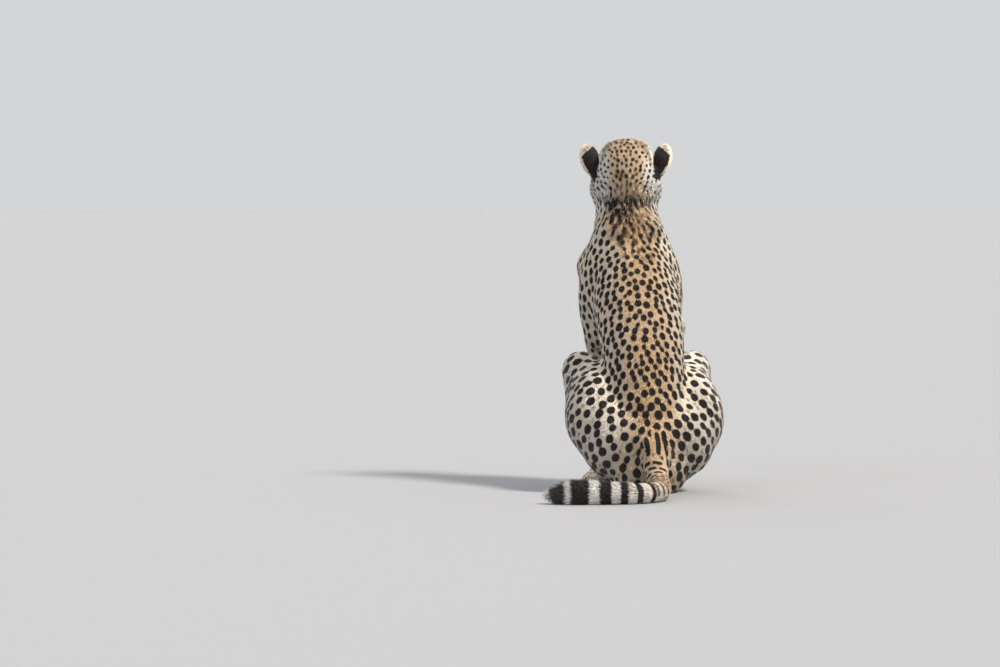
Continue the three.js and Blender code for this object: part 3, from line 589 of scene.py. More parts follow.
# The lie of the coat: which way the hair points, along the skin.
lieOf = {
    "neck": (0, 0.3, -0.95),
    "torso": (0, 0.45, -0.9),
    "upper_foreleg": (0, 0.18, -0.98),
    "lower_foreleg": (0, 0.05, -1),
    "forefoot": (0, -0.75, -0.65),
    "thigh": (0, -0.45, -0.85),
    "shank": (0, 0.5, -0.86),
    "hindfoot": (0, -0.97, -0.25),
}
lie = np.zeros_like(points)
for name, way in lieOf.items():
    lie[isOneOf(owner, name)] = way
flare = isOneOf(owner, "torso", "neck") * step(-0.2, 0.5, normals[:, 1])
lie[:, 0] += flare * np.clip(sideways / 0.1, -1, 1) * 0.55
lie[:, 0] += isOneOf(owner, "thigh") * np.sign(sideways) * 0.12
noseTip = np.array(headPlace(1, 0, 140, -22))
fromNose = points - noseTip
fromNose /= np.linalg.norm(fromNose, axis=1)[:, None]
fromNose[:, 2] -= 0.35 * step(40, -60, ahead)
lie[isHead] = fromNose[isHead]
onTail = isOneOf(owner, "tail")
lie[onTail] = tailTangents[tailSpot[onTail]]
for side, word in sides:
    lie[isOneOf(owner, "ear_" + word)] = earWays(side)[1]


def alongSkin(vectors, normals):
    # The same ways laid flat on the skin, of length 1.
    flat = vectors - (vectors * normals).sum(1)[:, None] * normals
    length = np.linalg.norm(flat, axis=1)[:, None]
    return flat / np.maximum(length, 1e-6)


lie = alongSkin(lie, normals)
for _ in range(4):
    lie = alongSkin(spread(lie, edges, 5), normals)

# The skin is drawn in by the coat's depth.
depth = np.maximum(coat[:, coatDepth, None], 0) * mm
points = points - normals * spread(depth, edges, 4)
points[:, 2] = np.maximum(points[:, 2], 1.2 * mm)
movePoints(skin.data, points)
normals = normalsOf(skin.data)
report("coat planned, skin drawn in")

# The markings are signed distances in mm, negative inside a dark mark.
spotKinds = {
    # least distance between middles, radius of a spot, how much longer than wide; mm
    "head": (11.5, 3.9, 1.3),
    "neck": (14.5, 5.0, 1.3),
    "torso": (20, 10.1, 1.1),
    "upper_foreleg": (19, 7.2, 1.2),
    "lower_foreleg": (15, 5.2, 1.1),
    "forefoot": (11, 3.2, 1.1),
    "hindfoot": (12, 3.6, 1.1),
    "thigh": (22.6, 10.1, 1.15),
    "shank": (20, 7.5, 1.15),
    "tail_root": (17, 6, 0.8),
    "tail_middle": (17, 6, 0.8),
}
spotGap, spotRadius, spotStretch = range(3)  # the columns of such a row


def fanOf(places, facing, owner):
    # Where the longer, streaked hair lies between the shoulders.
    side = np.abs(places[:, 0] - bodyShift.x)
    height = places[:, 2]
    fan = isOneOf(owner, "neck", "torso") * step(0.1, 0.4, facing[:, 1])
    return fan * step(0.07, 0.03, side) * step(0.56, 0.6, height) * step(0.71, 0.68, height)


triangles = np.empty(len(skin.data.polygons) * 3, np.int32)
skin.data.polygons.foreach_get("vertices", triangles)
triangles = triangles.reshape(-1, 3)
firsts, seconds, thirds = (points[triangles[:, i]] for i in range(3))
areas = np.linalg.norm(np.cross(seconds - firsts, thirds - firsts), axis=1) / 2


def drawPlaces(weights, count):
    # Random places on the skin: a triangle each, and the shares of its corners.
    heap = np.cumsum(weights)
    heap /= heap[-1]
    chosen = np.searchsorted(heap, (np.arange(count) + randomDraw.random(count)) / count)
    chosen = np.minimum(chosen, len(weights) - 1)
    a, b = randomDraw.random((2, count))
    over = a + b > 1
    a[over], b[over] = 1 - a[over], 1 - b[over]
    return chosen, np.stack([1 - a - b, a, b], axis=1)


def atPlaces(values, chosen, shares):
    return (values[triangles[chosen]] * shares[:, :, None]).sum(1)


spotPlan = rowsOf(spotKinds, owner)
smaller = 1 - 0.15 * step(0.22, 0.32, points[:, 2]) * isOneOf(owner, "torso")
spotPlan[:, :2] *= smaller[:, None]
napeTop = isOneOf(owner, "neck") & (points[:, 2] > 0.722) & (normals[:, 1] > 0)
spotPlan[napeTop] = spotKinds["head"]
spotPlan[:, spotRadius] *= 1 - 0.25 * fanOf(points, normals, owner)
spotPlan = spread(spotPlan, edges, 6)
# White undersides and the inner sides of the legs stay plain.
inward = -np.sign(sideways) * normals[:, 0]
throat = isOneOf(owner, "neck", "torso") * step(0.3, 0.75, -normals[:, 1])
onTorso = isOneOf(owner, "torso")
onLegs = isOneOf(owner, "thigh", "shank", "upper_foreleg", "lower_foreleg", "forefoot")
plainness = np.maximum.reduce(
    [
        throat * (0.2 + 0.8 * (wobble(points, 0.05, 17) > -0.5)),
        onTorso * step(0.0, 0.3, -normals[:, 1]) * step(0.42, 0.34, points[:, 2]),
        onTorso * step(-0.06, -0.1, points[:, 1]) * step(0.3, 0.25, points[:, 2]),
        onLegs * step(0.45, 0.75, inward),
        isHead * step(-38, -52, up) * step(0, 30, ahead),
        isHead * step(86, 96, ahead) * step(4, -6, up),
        nearEye,
    ]
)


spotDraw = {
    "tries": 60000,
    "rounds": 3,  # of moving the spots to the middles of the room they have
    "least": 0.86,  # in shares of the planned radius, and how much is added at random
    "varied": 0.3,
    "turned": 0.25,  # how far a spot strays from the lie of the hair
    "apart": 2.9,  # mm of ground between two spots
    "smallest": 1.5,
}
speckDraw = {
    "tries": 9000,
    "room": 6.5,  # mm that a speck needs from the nearest spot, and mm that it leaves free
    "free": 4,
    "largest": 4.2,
    "least": 0.6,
    "varied": 0.5,
    "apart": 7,
}


def scatterSpots():
    weights = areas * (spotPlan[triangles[:, 0], spotGap] > 1)
    chosen, shares = drawPlaces(weights, spotDraw["tries"])
    order = randomDraw.permutation(len(chosen))
    chosen, shares = chosen[order], shares[order]
    place = atPlaces(points, chosen, shares)
    plan = atPlaces(spotPlan, chosen, shares)
    plain = atPlaces(plainness[:, None], chosen, shares)[:, 0]
    free = np.flatnonzero((plan[:, spotGap] >= 4) & (plain <= 0.5))
    cell = 0.03  # m, wider than any gap
    grid, kept = {}, []
    for i in free:
        x, y, z = key = tuple((place[i] / cell).astype(int))
        cells = ((x + dx, y + dy, z + dz) for dx, dy, dz in product((-1, 0, 1), repeat=3))
        aways = (place[i] - place[j] for near in cells for j in grid.get(near, ()))
        reach = plan[i, spotGap] * mm
        if all(away @ away >= reach * reach for away in aways):
            grid.setdefault(key, []).append(i)
            kept.append(i)
    for _ in range(spotDraw["rounds"]):
        nearest = nearestIn(treeOf(place[kept]), place[free])
        counts = np.maximum(np.bincount(nearest, minlength=len(kept)), 1)[:, None]
        middles = [np.bincount(nearest, place[free, c], len(kept)) for c in range(3)]
        middles = np.stack(middles, axis=1) / counts
        away = ((place[free] - middles[nearest]) ** 2).sum(1)
        order = np.argsort(away)[::-1]
        best = np.array(kept)
        best[nearest[order]] = free[order]
        kept = list(best)
    kept = np.array(kept)
    size = spotDraw["least"] + spotDraw["varied"] * randomDraw.random(len(kept))
    size = plan[kept, spotRadius] * size
    return place[kept], size, plan[kept, spotStretch], chosen[kept], shares[kept]


spotPlaces, spotSizes, spotLengths, spotFaces, spotShares = scatterSpots()
spotWays = spotDraw["turned"] * randomDraw.normal(size=(len(spotPlaces), 3))
spotWays = atPlaces(lie, spotFaces, spotShares) + spotWays
spotWays = alongSkin(spotWays, atPlaces(normals, spotFaces, spotShares))
spotTree = treeOf(spotPlaces)


def keepApart():
    # A spot shrinks where its neighbour would touch it, measured in its own long shape.
    for i, place in enumerate(spotPlaces):
        for _, j, _ in spotTree.find_n(Vector(place), 6):
            if j == i:
                continue
            apart = (spotPlaces[j] - place) / mm
            along = apart @ spotWays[i]
            across = math.sqrt(max(apart @ apart - along**2, 0))
            measure = math.hypot(along / spotLengths[i], across)
            share = spotSizes[i] / (spotSizes[i] + spotSizes[j])
            size = max(share * (measure - spotDraw["apart"]), spotDraw["smallest"])
            spotSizes[i] = min(spotSizes[i], size)


keepApart()
report(f"{len(spotPlaces)} spots placed")


def scatterSpecks():
    # Small brown specks and lesser spots in the gaps between the spots.
    weights = areas * (spotPlan[triangles[:, 0], spotGap] > 14)
    chosen, shares = drawPlaces(weights, speckDraw["tries"])
    place = atPlaces(points, chosen, shares)
    plain = atPlaces(plainness[:, None], chosen, shares)[:, 0]
    speckTree = treeOf(place)
    kept, sizes = [], []
    taken = np.zeros(len(place), bool)
    for i, p in enumerate(place):
        if plain[i] > 0.4 or taken[i]:
            continue
        _, j, away = spotTree.find(Vector(p))
        room = away / mm - spotSizes[j] * spotLengths[j]
        if room > speckDraw["room"]:
            size = speckDraw["least"] + speckDraw["varied"] * randomDraw.random()
            size = min(room - speckDraw["free"], speckDraw["largest"]) * size
            kept.append(i)
            sizes.append(size)
            for _, k, _ in speckTree.find_range(Vector(p), (size + speckDraw["apart"]) * mm):
                taken[k] = True
    return place[kept], np.array(sizes)


speckPlaces, speckSizes = scatterSpecks()
report(f"{len(speckPlaces)} lesser spots and specks placed")

# Rings of the tail, counted in mm from the tip: where each dark ring begins and ends.
tailRings = [(36, 63), (84, 117), (152, 176), (200, 215), (236, 249), (269, 280)]
tailBars = {"from": 290, "to": 620, "apart": 21, "half": 5.4, "columns": 28, "sides": 48}
tailGirth = 26  # radius that turns angles round the tail into mm
# Lines of the face, out and up in mm from the middle of the head: from the inner corner of
# the eye past the nose to the corner of the mouth, and the parting of the lips.
tearLine = [(15, -5), (17, -16), (20, -27), (26, -38), (33, -47), (38, -52)]
lipLine = [(0, -36), (0, -47), (9, -55), (20, -56), (30, -54), (38, -50)]
# Rows of dark spots that the whiskers grow from, run back and down from beside the nose, in mm.
whiskerRows = {
    "rows": 4,
    "spots": 5,
    "first": (17, 128, -26),  # out, ahead and up
    "out": 4.4,
    "back": 6.2,
    "down": 6,
    "slope": 0.8,
    "radius": 1.9,
}
# Long stripes that run into the root of the tail: out, lower end, upper end, half width in mm.
rumpStripes = [(24, 104, 138, 5.5), (-2, 108, 150, 6), (-25, 78, 152, 7), (-50, 70, 142, 5)]
# Dark marks behind the neck: middle, half sizes in mm, raggedness. A collar and a blotch.
napeMarks = [((20, 262, 724), (60, 70, 11), 1.2), ((34, 262, 694), (23, 60, 20), 0.9)]


def lineDistance(out, up, line, side):
    # How far each place lies from a line of the face, seen from in front, in mm.
    rows = smoothRows(line, 40) * np.array([side, 1])
    away = np.stack([out, up], axis=1)[:, None, :] - rows[None, :, :]
    return np.linalg.norm(away, axis=2).min(1)


def spotDistance(places, spots, radii, lengths, ways, reach):
    # How far each place lies from the edge of the nearest spot, in mm, negative inside.
    tree = treeOf(places)
    nearest = np.full(len(places), 30.0)
    for spot, radius, length, way in zip(spots, radii, lengths, ways):
        found = tree.find_range(Vector(spot), (radius * max(length, 1) + reach) * mm)
        if not found:
            continue
        index = np.array([f[1] for f in found])
        away = (places[index] - spot) / mm
        along = away @ way
        across = np.sqrt(np.maximum((away**2).sum(1) - along**2, 0))
        measure = np.hypot(along / length, across)
        nearest[index] = np.minimum(nearest[index], measure - radius)
    return nearest


def tailMarks(places, spot):
    # s runs from the tip and aside runs round the tail from the middle of its upper side, in mm.
    away = places - tailPoints[spot]
    sideWay = np.cross(tailTangents[spot], (0, 0, 1))
    sideWay /= np.linalg.norm(sideWay, axis=1)[:, None]
    upWay = np.cross(sideWay, tailTangents[spot])
    aside = np.arctan2((away * sideWay).sum(1), (away * upWay).sum(1)) * tailGirth
    s = (tailFromTip[spot] - (away * tailTangents[spot]).sum(1)) / mm + 5 * wobble(places, 0.09, 5)
    best = np.full(len(places), 30.0)
    for begin, end in tailRings:
        best = np.minimum(best, np.abs(s - (begin + end) / 2) - (end - begin) / 2)
    # Then half rings, and nearer the body rows of short bars.
    wide = tailBars["columns"]
    middle = (s - tailBars["from"]) / tailBars["apart"]
    phase = np.abs(middle - np.round(middle)) * tailBars["apart"]
    bars = phase - tailBars["half"] - 0.8 * wobble(places, 0.05, 6)
    column = (aside + wide / 2 * (np.round(middle) % 2)) / wide
    gap = wide / 2 - np.abs(column - np.floor(column) - 0.5) * wide
    bars = np.maximum(bars, (3.2 - gap) * step(330, 420, s) - 0.5)
    bars = np.maximum(bars, np.abs(aside) - tailBars["sides"])
    return np.minimum(best, np.where(s > tailBars["from"] - 8, bars, 30))


def stripeDistance(places):
    side = (places[:, 0] - bodyShift.x) / mm
    height = places[:, 2] / mm
    best = np.full(len(places), 30.0)
    for x, low, high, half in rumpStripes:
        sway = x + 3 * np.sin(height * 0.05 + x)
        past = np.maximum(np.abs(height - (low + high) / 2) - (high - low) / 2, 0)
        best = np.minimum(best, np.hypot(past, side - sway) - half)
    return np.where(places[:, 1] > bodyShift.y, best, 30)


def onTailLine(places, tail):
    # For each place on the tail, the nearest row of its line; and how far all are from its tip.
    spot = nearestIn(alongTail, places[tail])
    fromTip = np.full(len(places), 900.0)
    fromTip[tail] = tailFromTip[spot] / mm
    return spot, fromTip


def faceMarks(places, out, ahead, up):
    # Dark rims of the eyes, tear lines, lips, and the spots that the whiskers grow from.
    front = ahead > 52
    nearest = np.full(len(places), 30.0)
    for side, _ in sides:
        # The rim of the eye is longer than high and dips to its inner corner.
        x, y = side * (out - side * headSizes["eyeOut"]), up - headSizes["eyeUp"]
        y = y - 0.16 * x
        rim = (np.hypot(x / 1.2, y / np.where(y > 0, 0.86, 0.8)) - 17.2) * 0.9
        tears = lineDistance(out, up, tearLine, side) - 2.2 - 0.035 * np.clip(-up, 0, 50)
        lips = lineDistance(out, up, lipLine, side) - 1.7
        marks = np.minimum(rim, np.minimum(tears, lips))
        nearest = np.minimum(nearest, np.where(front, marks, 30))
        for row, n in product(range(whiskerRows["rows"]), range(whiskerRows["spots"])):
            x, y, z = whiskerRows["first"]
            z = z - whiskerRows["down"] * row - whiskerRows["slope"] * n
            spot = headPlace(side, x + whiskerRows["out"] * n, y - whiskerRows["back"] * n, z)
            nearest = np.minimum(nearest, awayFrom(places, spot) / mm - whiskerRows["radius"])
    return nearest


def earMarks(places, facing, side, onHead):
    # Black behind the ear and down to its root, with a mottled cap and a pale rim.
    cup, rise, outward = earWays(side)
    middle = headPlace(side, headSizes["earOut"], headSizes["earAhead"], headSizes["earUp"])
    away = (places - np.array(middle)) / mm
    height, across = away @ rise, away @ outward
    behind = np.where(onHead, facing[:, 1], -(facing @ cup))
    half = 7 + 13 * step(-50, -8, height)
    edge = np.maximum.reduce(
        [(0.1 - behind) * 14, height + 0.5 * across - 18, np.abs(across + 3) - half, -56 - height]
    )
    edge = edge + 1.2 * wobble(places, 0.012, 9) + 1.5 * wobble(places, 0.04, 10)
    cap = ~onHead * step(0.3, 0.6, behind) * (0.4 + 0.3 * wobble(places, 0.008, 21))
    return edge, cap


def markings(places, facing, owner):
    # How far each place is from black, in mm, and how brown it is.
    out, ahead, up = inHead(places)
    head, torso, tail = (isOneOf(owner, name) for name in ("head", "torso", "tail"))
    black = spotDistance(places, spotPlaces, spotSizes, spotLengths, spotWays, 8)
    black = black + 0.7 * wobble(places, 0.012, 3) + 0.5 * wobble(places, 0.03, 4)
    specks = spotDistance(places, speckPlaces, speckSizes, np.ones(len(speckSizes)), spotWays, 6)
    spot, fromTip = onTailLine(places, tail)
    rings = np.full(len(places), 30.0)
    rings[tail] = tailMarks(places[tail], spot)
    black = np.where(fromTip < tailBars["to"], rings, black)
    stripes = stripeDistance(places)
    black = np.where((torso | tail) & (stripes < 8), stripes, black)
    face = faceMarks(places[head], out[head], ahead[head], up[head])
    black[head] = np.minimum(black[head], face)
    caps = np.zeros(len(places))
    for side, word in sides:
        mine = head | isOneOf(owner, "ear_" + word)
        edge, caps[mine] = earMarks(places[mine], facing[mine], side, head[mine])
        black[mine] = np.where(head[mine], np.minimum(black[mine], edge), edge)
    # Brown: the specks, the caps of the ears, the middle of the crown, and painted shade in the
    # folds between the toes.
    brown = np.maximum(step(1.0, -0.8, specks) * 0.85, caps)
    crown = head | (isOneOf(owner, "neck") & (places[:, 2] > 0.72))
    middleHead = crown * step(40, 22, np.abs(out)) * step(60, 30, ahead)
    brown = np.maximum(brown, middleHead * step(2.0, -0.4, black) * 0.95)
    black = black + (1.1 + 1.4 * wobble(places, 0.03, 14)) * middleHead
    behindNeck = isOneOf(owner, "neck", "torso", "head") * step(0, 0.3, facing[:, 1])
    for middle, size, ragged in napeMarks:
        away = (places - np.array(bodyPlace(1, *middle))) / np.array(size) / mm
        away = np.linalg.norm(away, axis=1) + ragged * wobble(places, 0.011, 12)
        black = np.minimum(black, 2.6 - 5.6 * step(1.1, 0.7, away) * behindNeck)
    # Dark streaks fan out below the nape.
    fanTop = bodyPlace(1, 4, 0, 716)
    angle = np.arctan2(places[:, 0] - fanTop.x, fanTop.z - places[:, 2])
    streaks = 0.5 + 0.5 * np.sin(angle * 26 + 3 * wobble(places, 0.05, 15))
    streaks = 0.6 * streaks + 0.4 * (0.5 + 0.5 * wobble(places, 0.024, 16))
    brown = np.maximum(brown, fanOf(places, facing, owner) * step(0.56, 0.72, streaks) * 0.95)
    # Painted shade: the folds between the toes are darkened with brown.
    brown = np.maximum(brown, 0.7 * toeFolds(places) * isOneOf(owner, "forefoot", "hindfoot"))
    wisps = flankOf(places, owner)
    return np.stack([np.clip(black + 16 * wisps, -12, 12), brown * (1 - wisps)], axis=1)


groundGold = {
    # for parts of one colour, how golden it is
    "upper_foreleg": 0.38,
    "lower_foreleg": 0.45,
    "shank": 0.45,
    "forefoot": 0.45,
    "hindfoot": 0.45,
    "ear": 0.4,
}


def headGround(out, ahead, up):
    # The crown and the back of the head are golden, the cheeks white.
    crown = step(-30, 12, up - 0.55 * np.maximum(np.abs(out) - 26, 0))
    crown = crown * (1 - 0.35 * step(60, 110, ahead))
    behindHead = step(66, 38, np.abs(out)) * step(24, -14, ahead)
    gold = 0.12 + 0.6 * np.maximum(crown, behindHead)
    cheek = step(-46, -20, up) * step(30, 60, ahead)
    gold = np.maximum(gold, 0.42 * cheek)
    whiteMuzzle = step(86, 100, ahead) * step(-14, -24, up)
    underEye = step(13, 7, np.hypot((np.abs(out) - 34) / 1.3, up + 20)) * step(50, 62, ahead)
    overEye = step(8, 4, np.hypot((np.abs(out) - 36) / 1.8, up - 26)) * step(50, 62, ahead)
    paler = (1 - 0.9 * whiteMuzzle) * (1 - 0.85 * underEye) * (1 - 0.5 * overEye)
    gold = gold * paler * (1 - 0.9 * step(-44, -60, up))
    return gold * (1 - 0.75 * step(34, 60, np.abs(out)) * step(44, 4, ahead))


def groundOf(places, facing, owner):
    # How golden the ground colour is, from 0 for white to 1.
    head, neck, torso, thigh, tail = (
        isOneOf(owner, name) for name in ("head", "neck", "torso", "thigh", "tail")
    )
    side = places[:, 0] - bodyShift.x
    # Golden along the back, paler on the sides, white below.
    back = step(-0.35, 0.75, facing[:, 1])
    band = step(0.088, 0.015, np.abs(side - 0.002))
    gold = 0.3 + 0.1 * back + 0.5 * band * back
    gold = np.where(thigh, 0.28 + 0.34 * step(0.12, 0.04, np.abs(side)), gold)
    for name, value in groundGold.items():
        gold = np.where(isOneOf(owner, name), value, gold)
    legs = thigh | isOneOf(owner, "shank", "upper_foreleg", "lower_foreleg", "forefoot", "hindfoot")
    gold = np.where(legs, gold * (1 - 0.8 * step(0.2, 0.8, -np.sign(side) * facing[:, 0])), gold)
    gold = gold * (1 - 0.9 * (torso * step(0.0, 0.65, -facing[:, 1])))
    gold = gold * (1 - 0.6 * neck * step(0.0, 0.7, -facing[:, 1]))
    gold = np.where(head, headGround(*inHead(places)), gold)
    _, fromTip = onTailLine(places, tail)
    tailGold = np.clip(0.1 + 0.62 * step(170, 420, fromTip), 0, 1)
    gold = np.where(tail, tailGold * (0.45 + 0.55 * step(-0.6, 0.4, facing[:, 2])), gold)
    napeTop = neck * step(0.70, 0.725, places[:, 2]) * step(-0.2, 0.2, facing[:, 1])
    gold = gold * (1 - napeTop * (0.25 + 0.6 * step(0.034, 0.07, np.abs(side))))
    gold = np.clip(gold + 0.06 * wobble(places, 0.16, 11), 0, 1)
    return (gold * (1 - 0.8 * flankOf(places, owner)))[:, None]


skinMarks = markings(points, normals, owner)
skinGround = spread(groundOf(points, normals, owner), edges, 8)
report("skin marked")


def setValues(mesh, values):
    for name, column in values.items():
        attribute = mesh.attributes.new(name, "FLOAT", "POINT")
        attribute.data.foreach_set("value", column.astype(np.float32))


skinValues = {
    "black": skinMarks[:, 0],
    "brown": skinMarks[:, 1],
    "gold": skinGround[:, 0],
    "tint": np.zeros(len(points)),
    # The skin takes nearly the darkness of the tufts' roots: painted shade under the coat.
    "toTip": np.full(len(points), 0.15),
}
setValues(skin.data, skinValues)

makeActive(skin)
bpy.ops.object.mode_set(mode="EDIT")
bpy.ops.mesh.select_all(action="SELECT")
bpy.ops.uv.smart_project(island_margin=0.001)
bpy.ops.object.mode_set(mode="OBJECT")
skin.data.uv_layers[0].name = "OFBake"
bpy.ops.object.shade_smooth()
skinCorners = np.empty(len(skin.data.loops) * 2, np.float32)
skin.data.uv_layers["OFBake"].data.foreach_get("uv", skinCorners)
skinCorners = skinCorners.reshape(-1, 3, 2)
report("skin unwrapped")

# The tufts are small closed solids, sunk at the root and lying along the skin.
tuftForms = {
    # "most" is how many a piece may have. Each corner lies so far along the tuft's length and
    # across its width, and stands up in shares of its thickness.
    "short": {
        "most": 49000,
        "corners": [(0, -0.5, 0), (0, 0.5, 0), (0.42, 0, 1), (1, 0, 0.25)],
        "faces": [(0, 2, 1), (0, 3, 2), (1, 2, 3), (0, 1, 3)],
    },
    "long": {
        "most": 33000,
        "corners": [(0, 0, 0), (0.34, -0.5, 0.1), (0.34, 0.5, 0.1), (0.4, 0, 1), (1, 0, 0.3)],
        "faces": [(0, 1, 3), (0, 3, 2), (1, 4, 3), (2, 3, 4), (0, 2, 1), (1, 2, 4)],
    },
}
tuftSizes = {
    "thick": 0.22,  # in shares of its width, and at least so many mm
    "leastThick": 0.35,
    "sunk": 0.7,  # mm that the root lies under the skin
    "patch": (0.002, 0.003),  # how much of the bake map it covers, across and along
    "shorterByEye": 6,  # the rest is the room it keeps, in mm
    "fromNose": 9,
    "fromClaws": 4.2,
    "fromFloor": 0.5,
}


def planTufts(name, wanted, most):
    # Where the tufts of a piece stand, which way they lie and how large they are.
    weights = areas * (coat[:, growth] * wanted)[triangles].mean(1)
    count = int(min(weights.sum() * 1e4, most))
    chosen, shares = drawPlaces(weights, count)
    place = atPlaces(points, chosen, shares)
    facing = atPlaces(normals, chosen, shares)
    facing /= np.linalg.norm(facing, axis=1)[:, None]
    plan = atPlaces(coat, chosen, shares)
    way = atPlaces(lie, chosen, shares) + 0.16 * randomDraw.normal(size=(count, 3))
    length = plan[:, hairLength] * (0.75 + 0.5 * randomDraw.random(count)) * mm
    width = plan[:, tuftWidth] * (0.8 + 0.4 * randomDraw.random(count)) * mm
    lift = plan[:, hairLift] * (0.6 + 0.8 * randomDraw.random(count))
    # Hair beside an eye is short, and none grows on the soles, the nose or the claws.
    room = (eyeDistance(place) - headSizes["eyeRadius"]) * mm
    shorter = np.minimum(length, np.maximum(room * 0.8, 1.2 * mm))
    length = np.where(room < tuftSizes["shorterByEye"] * mm, shorter, length)
    keep = (facing[:, 2] > -0.86) | (place[:, 2] > 6 * mm)
    keep &= awayFrom(place, middleOf("nose")) > tuftSizes["fromNose"] * mm
    if name == "coat_feet":
        keep &= clawDistance(place) > tuftSizes["fromClaws"]
    tufts = {
        "place": place,
        "facing": facing,
        "way": alongSkin(way, facing),
        "length": length,
        "width": width,
        "lift": lift,
        "owner": owner[triangles[chosen, np.argmax(shares, axis=1)]],
        "ground": atPlaces(skinGround, chosen, shares)[:, 0],
        "patch": (skinCorners[chosen] * shares[:, :, None]).sum(1),
    }
    return {key: values[keep] for key, values in tufts.items()}


def meshOf(name, vertices, faces):
    mesh = bpy.data.meshes.new(name)
    mesh.vertices.add(len(vertices))
    mesh.vertices.foreach_set("co", vertices.astype(np.float32).ravel())
    mesh.loops.add(len(faces) * 3)
    mesh.loops.foreach_set("vertex_index", faces.astype(np.int32).ravel())
    mesh.polygons.add(len(faces))
    mesh.polygons.foreach_set("loop_start", np.arange(len(faces), dtype=np.int32) * 3)
    mesh.update(calc_edges=True)
    mesh.polygons.foreach_set("use_smooth", np.ones(len(faces), bool))
    return mesh


def growTufts(name, wanted, shape):
    # One piece of coat, made whole from its corners because it has tens of thousands of tufts.
    form = tuftForms[shape]
    tufts = planTufts(name, wanted, form["most"])
    place, facing, way, length, width = (
        tufts[key] for key in ("place", "facing", "way", "length", "width")
    )
    count, size = len(place), len(form["corners"])
    side = np.cross(facing, way)
    thick = np.maximum(tuftSizes["thick"] * width, tuftSizes["leastThick"] * mm)
    # The marks are read at the root, midway and near the tip.
    marks = {}
    for share in (0, 0.42, 1):
        there = place + way * (length * share * 0.85)[:, None]
        marks[share] = markings(there, facing, tufts["owner"])
    corners, patches, cornerMarks = [], [], []
    for along, across, high in form["corners"]:
        rise = along * (1.25 - 0.25 * along)
        made = place + way * (length * along)[:, None] + side * (width * across)[:, None]
        made += facing * (length * tufts["lift"] * rise + thick * high)[:, None]
        if along == 0:
            made -= facing * (tuftSizes["sunk"] * mm)
        made[:, 2] = np.maximum(made[:, 2], tuftSizes["fromFloor"] * mm + 0.8 * mm * high)
        corners.append(made)
        cornerMarks.append(marks.get(along, marks[0.42]))
        patches.append(tufts["patch"] + np.array([across, along - 0.5]) * tuftSizes["patch"])
    faces = np.arange(count)[:, None, None] * size + np.array(form["faces"])[None]
    faces = faces.reshape(-1, 3)
    mesh = meshOf(name, np.stack(corners, axis=1).reshape(-1, 3), faces)
    flat = np.stack(patches, axis=1).reshape(-1, 2)[faces.ravel()]
    mesh.uv_layers.new(name="OFBake").data.foreach_set("uv", flat.astype(np.float32).ravel())
    tint = np.clip(randomDraw.normal(size=count) * 0.5, -1.2, 1.2)
    black, brown = np.stack(cornerMarks, axis=1).reshape(-1, 2).T
    gold, tint = np.repeat(tufts["ground"], size), np.repeat(tint, size)
    toTip = np.tile([corner[0] for corner in form["corners"]], count)
    values = {"black": black, "brown": brown, "gold": gold, "tint": tint, "toTip": toTip}
    setValues(mesh, values)
    mesh.update()
    thing = bpy.data.objects.new(name, mesh)
    bpy.context.scene.collection.objects.link(thing)
    report(f"{name}: {count} tufts, {len(faces)} triangles")
    return thing


leftSide = points[:, 0] > bodyShift.x
upper = points[:, 2] > 0.4
onHaunch = isOneOf(owner, "thigh", "shank")
shortCoat = {
    "head": isOneOf(owner, "head"),
    "ears": isOneOf(owner, "ear"),
    "neck": isOneOf(owner, "neck"),
    "trunk_upper": onTorso & upper,
    "trunk_lower": onTorso & ~upper,
    "haunch_left": onHaunch & leftSide,
    "haunch_right": onHaunch & ~leftSide,
    "forelegs": isOneOf(owner, "upper_foreleg", "lower_foreleg"),
    "feet": isOneOf(owner, "forefoot", "hindfoot"),
    "tail": isOneOf(owner, "tail_root", "tail_middle"),
}
pieces = [growTufts("coat_" + name, wanted, "short") for name, wanted in shortCoat.items()]
pieces.append(growTufts("coat_tail_end", isOneOf(owner, "tail_end"), "long"))


def linear(code):
    parts = [int(code[i : i + 2], 16) / 255 for i in (1, 3, 5)]
    return (*[c / 12.92 if c <= 0.04045 else ((c + 0.055) / 1.055) ** 2.4 for c in parts], 1)


def newMaterial(name):
    material = bpy.data.materials.new(name)
    material.use_nodes = True
    material.node_tree.nodes.clear()
    return material


def addNode(material, kind, inputs=None, **settings):
    # An input is a value, another node's output, or a node that stands for its first output.
    node = material.node_tree.nodes.new(kind)
    for key, value in settings.items():
        setattr(node, key, value)
    for key, value in (inputs or {}).items():
        if isinstance(value, bpy.types.Node):
            value = value.outputs[0]
        if isinstance(value, bpy.types.NodeSocket):
            material.node_tree.links.new(value, node.inputs[key])
        else:
            node.inputs[key].default_value = value
    return node


furColours = {
    "white": "#F6F3EE",
    "cream": "#EDE1D0",
    "tan": "#E6CDAE",
    "gold": "#DDB98E",
    "brown": "#4E3320",
    "black": "#231B19",
}
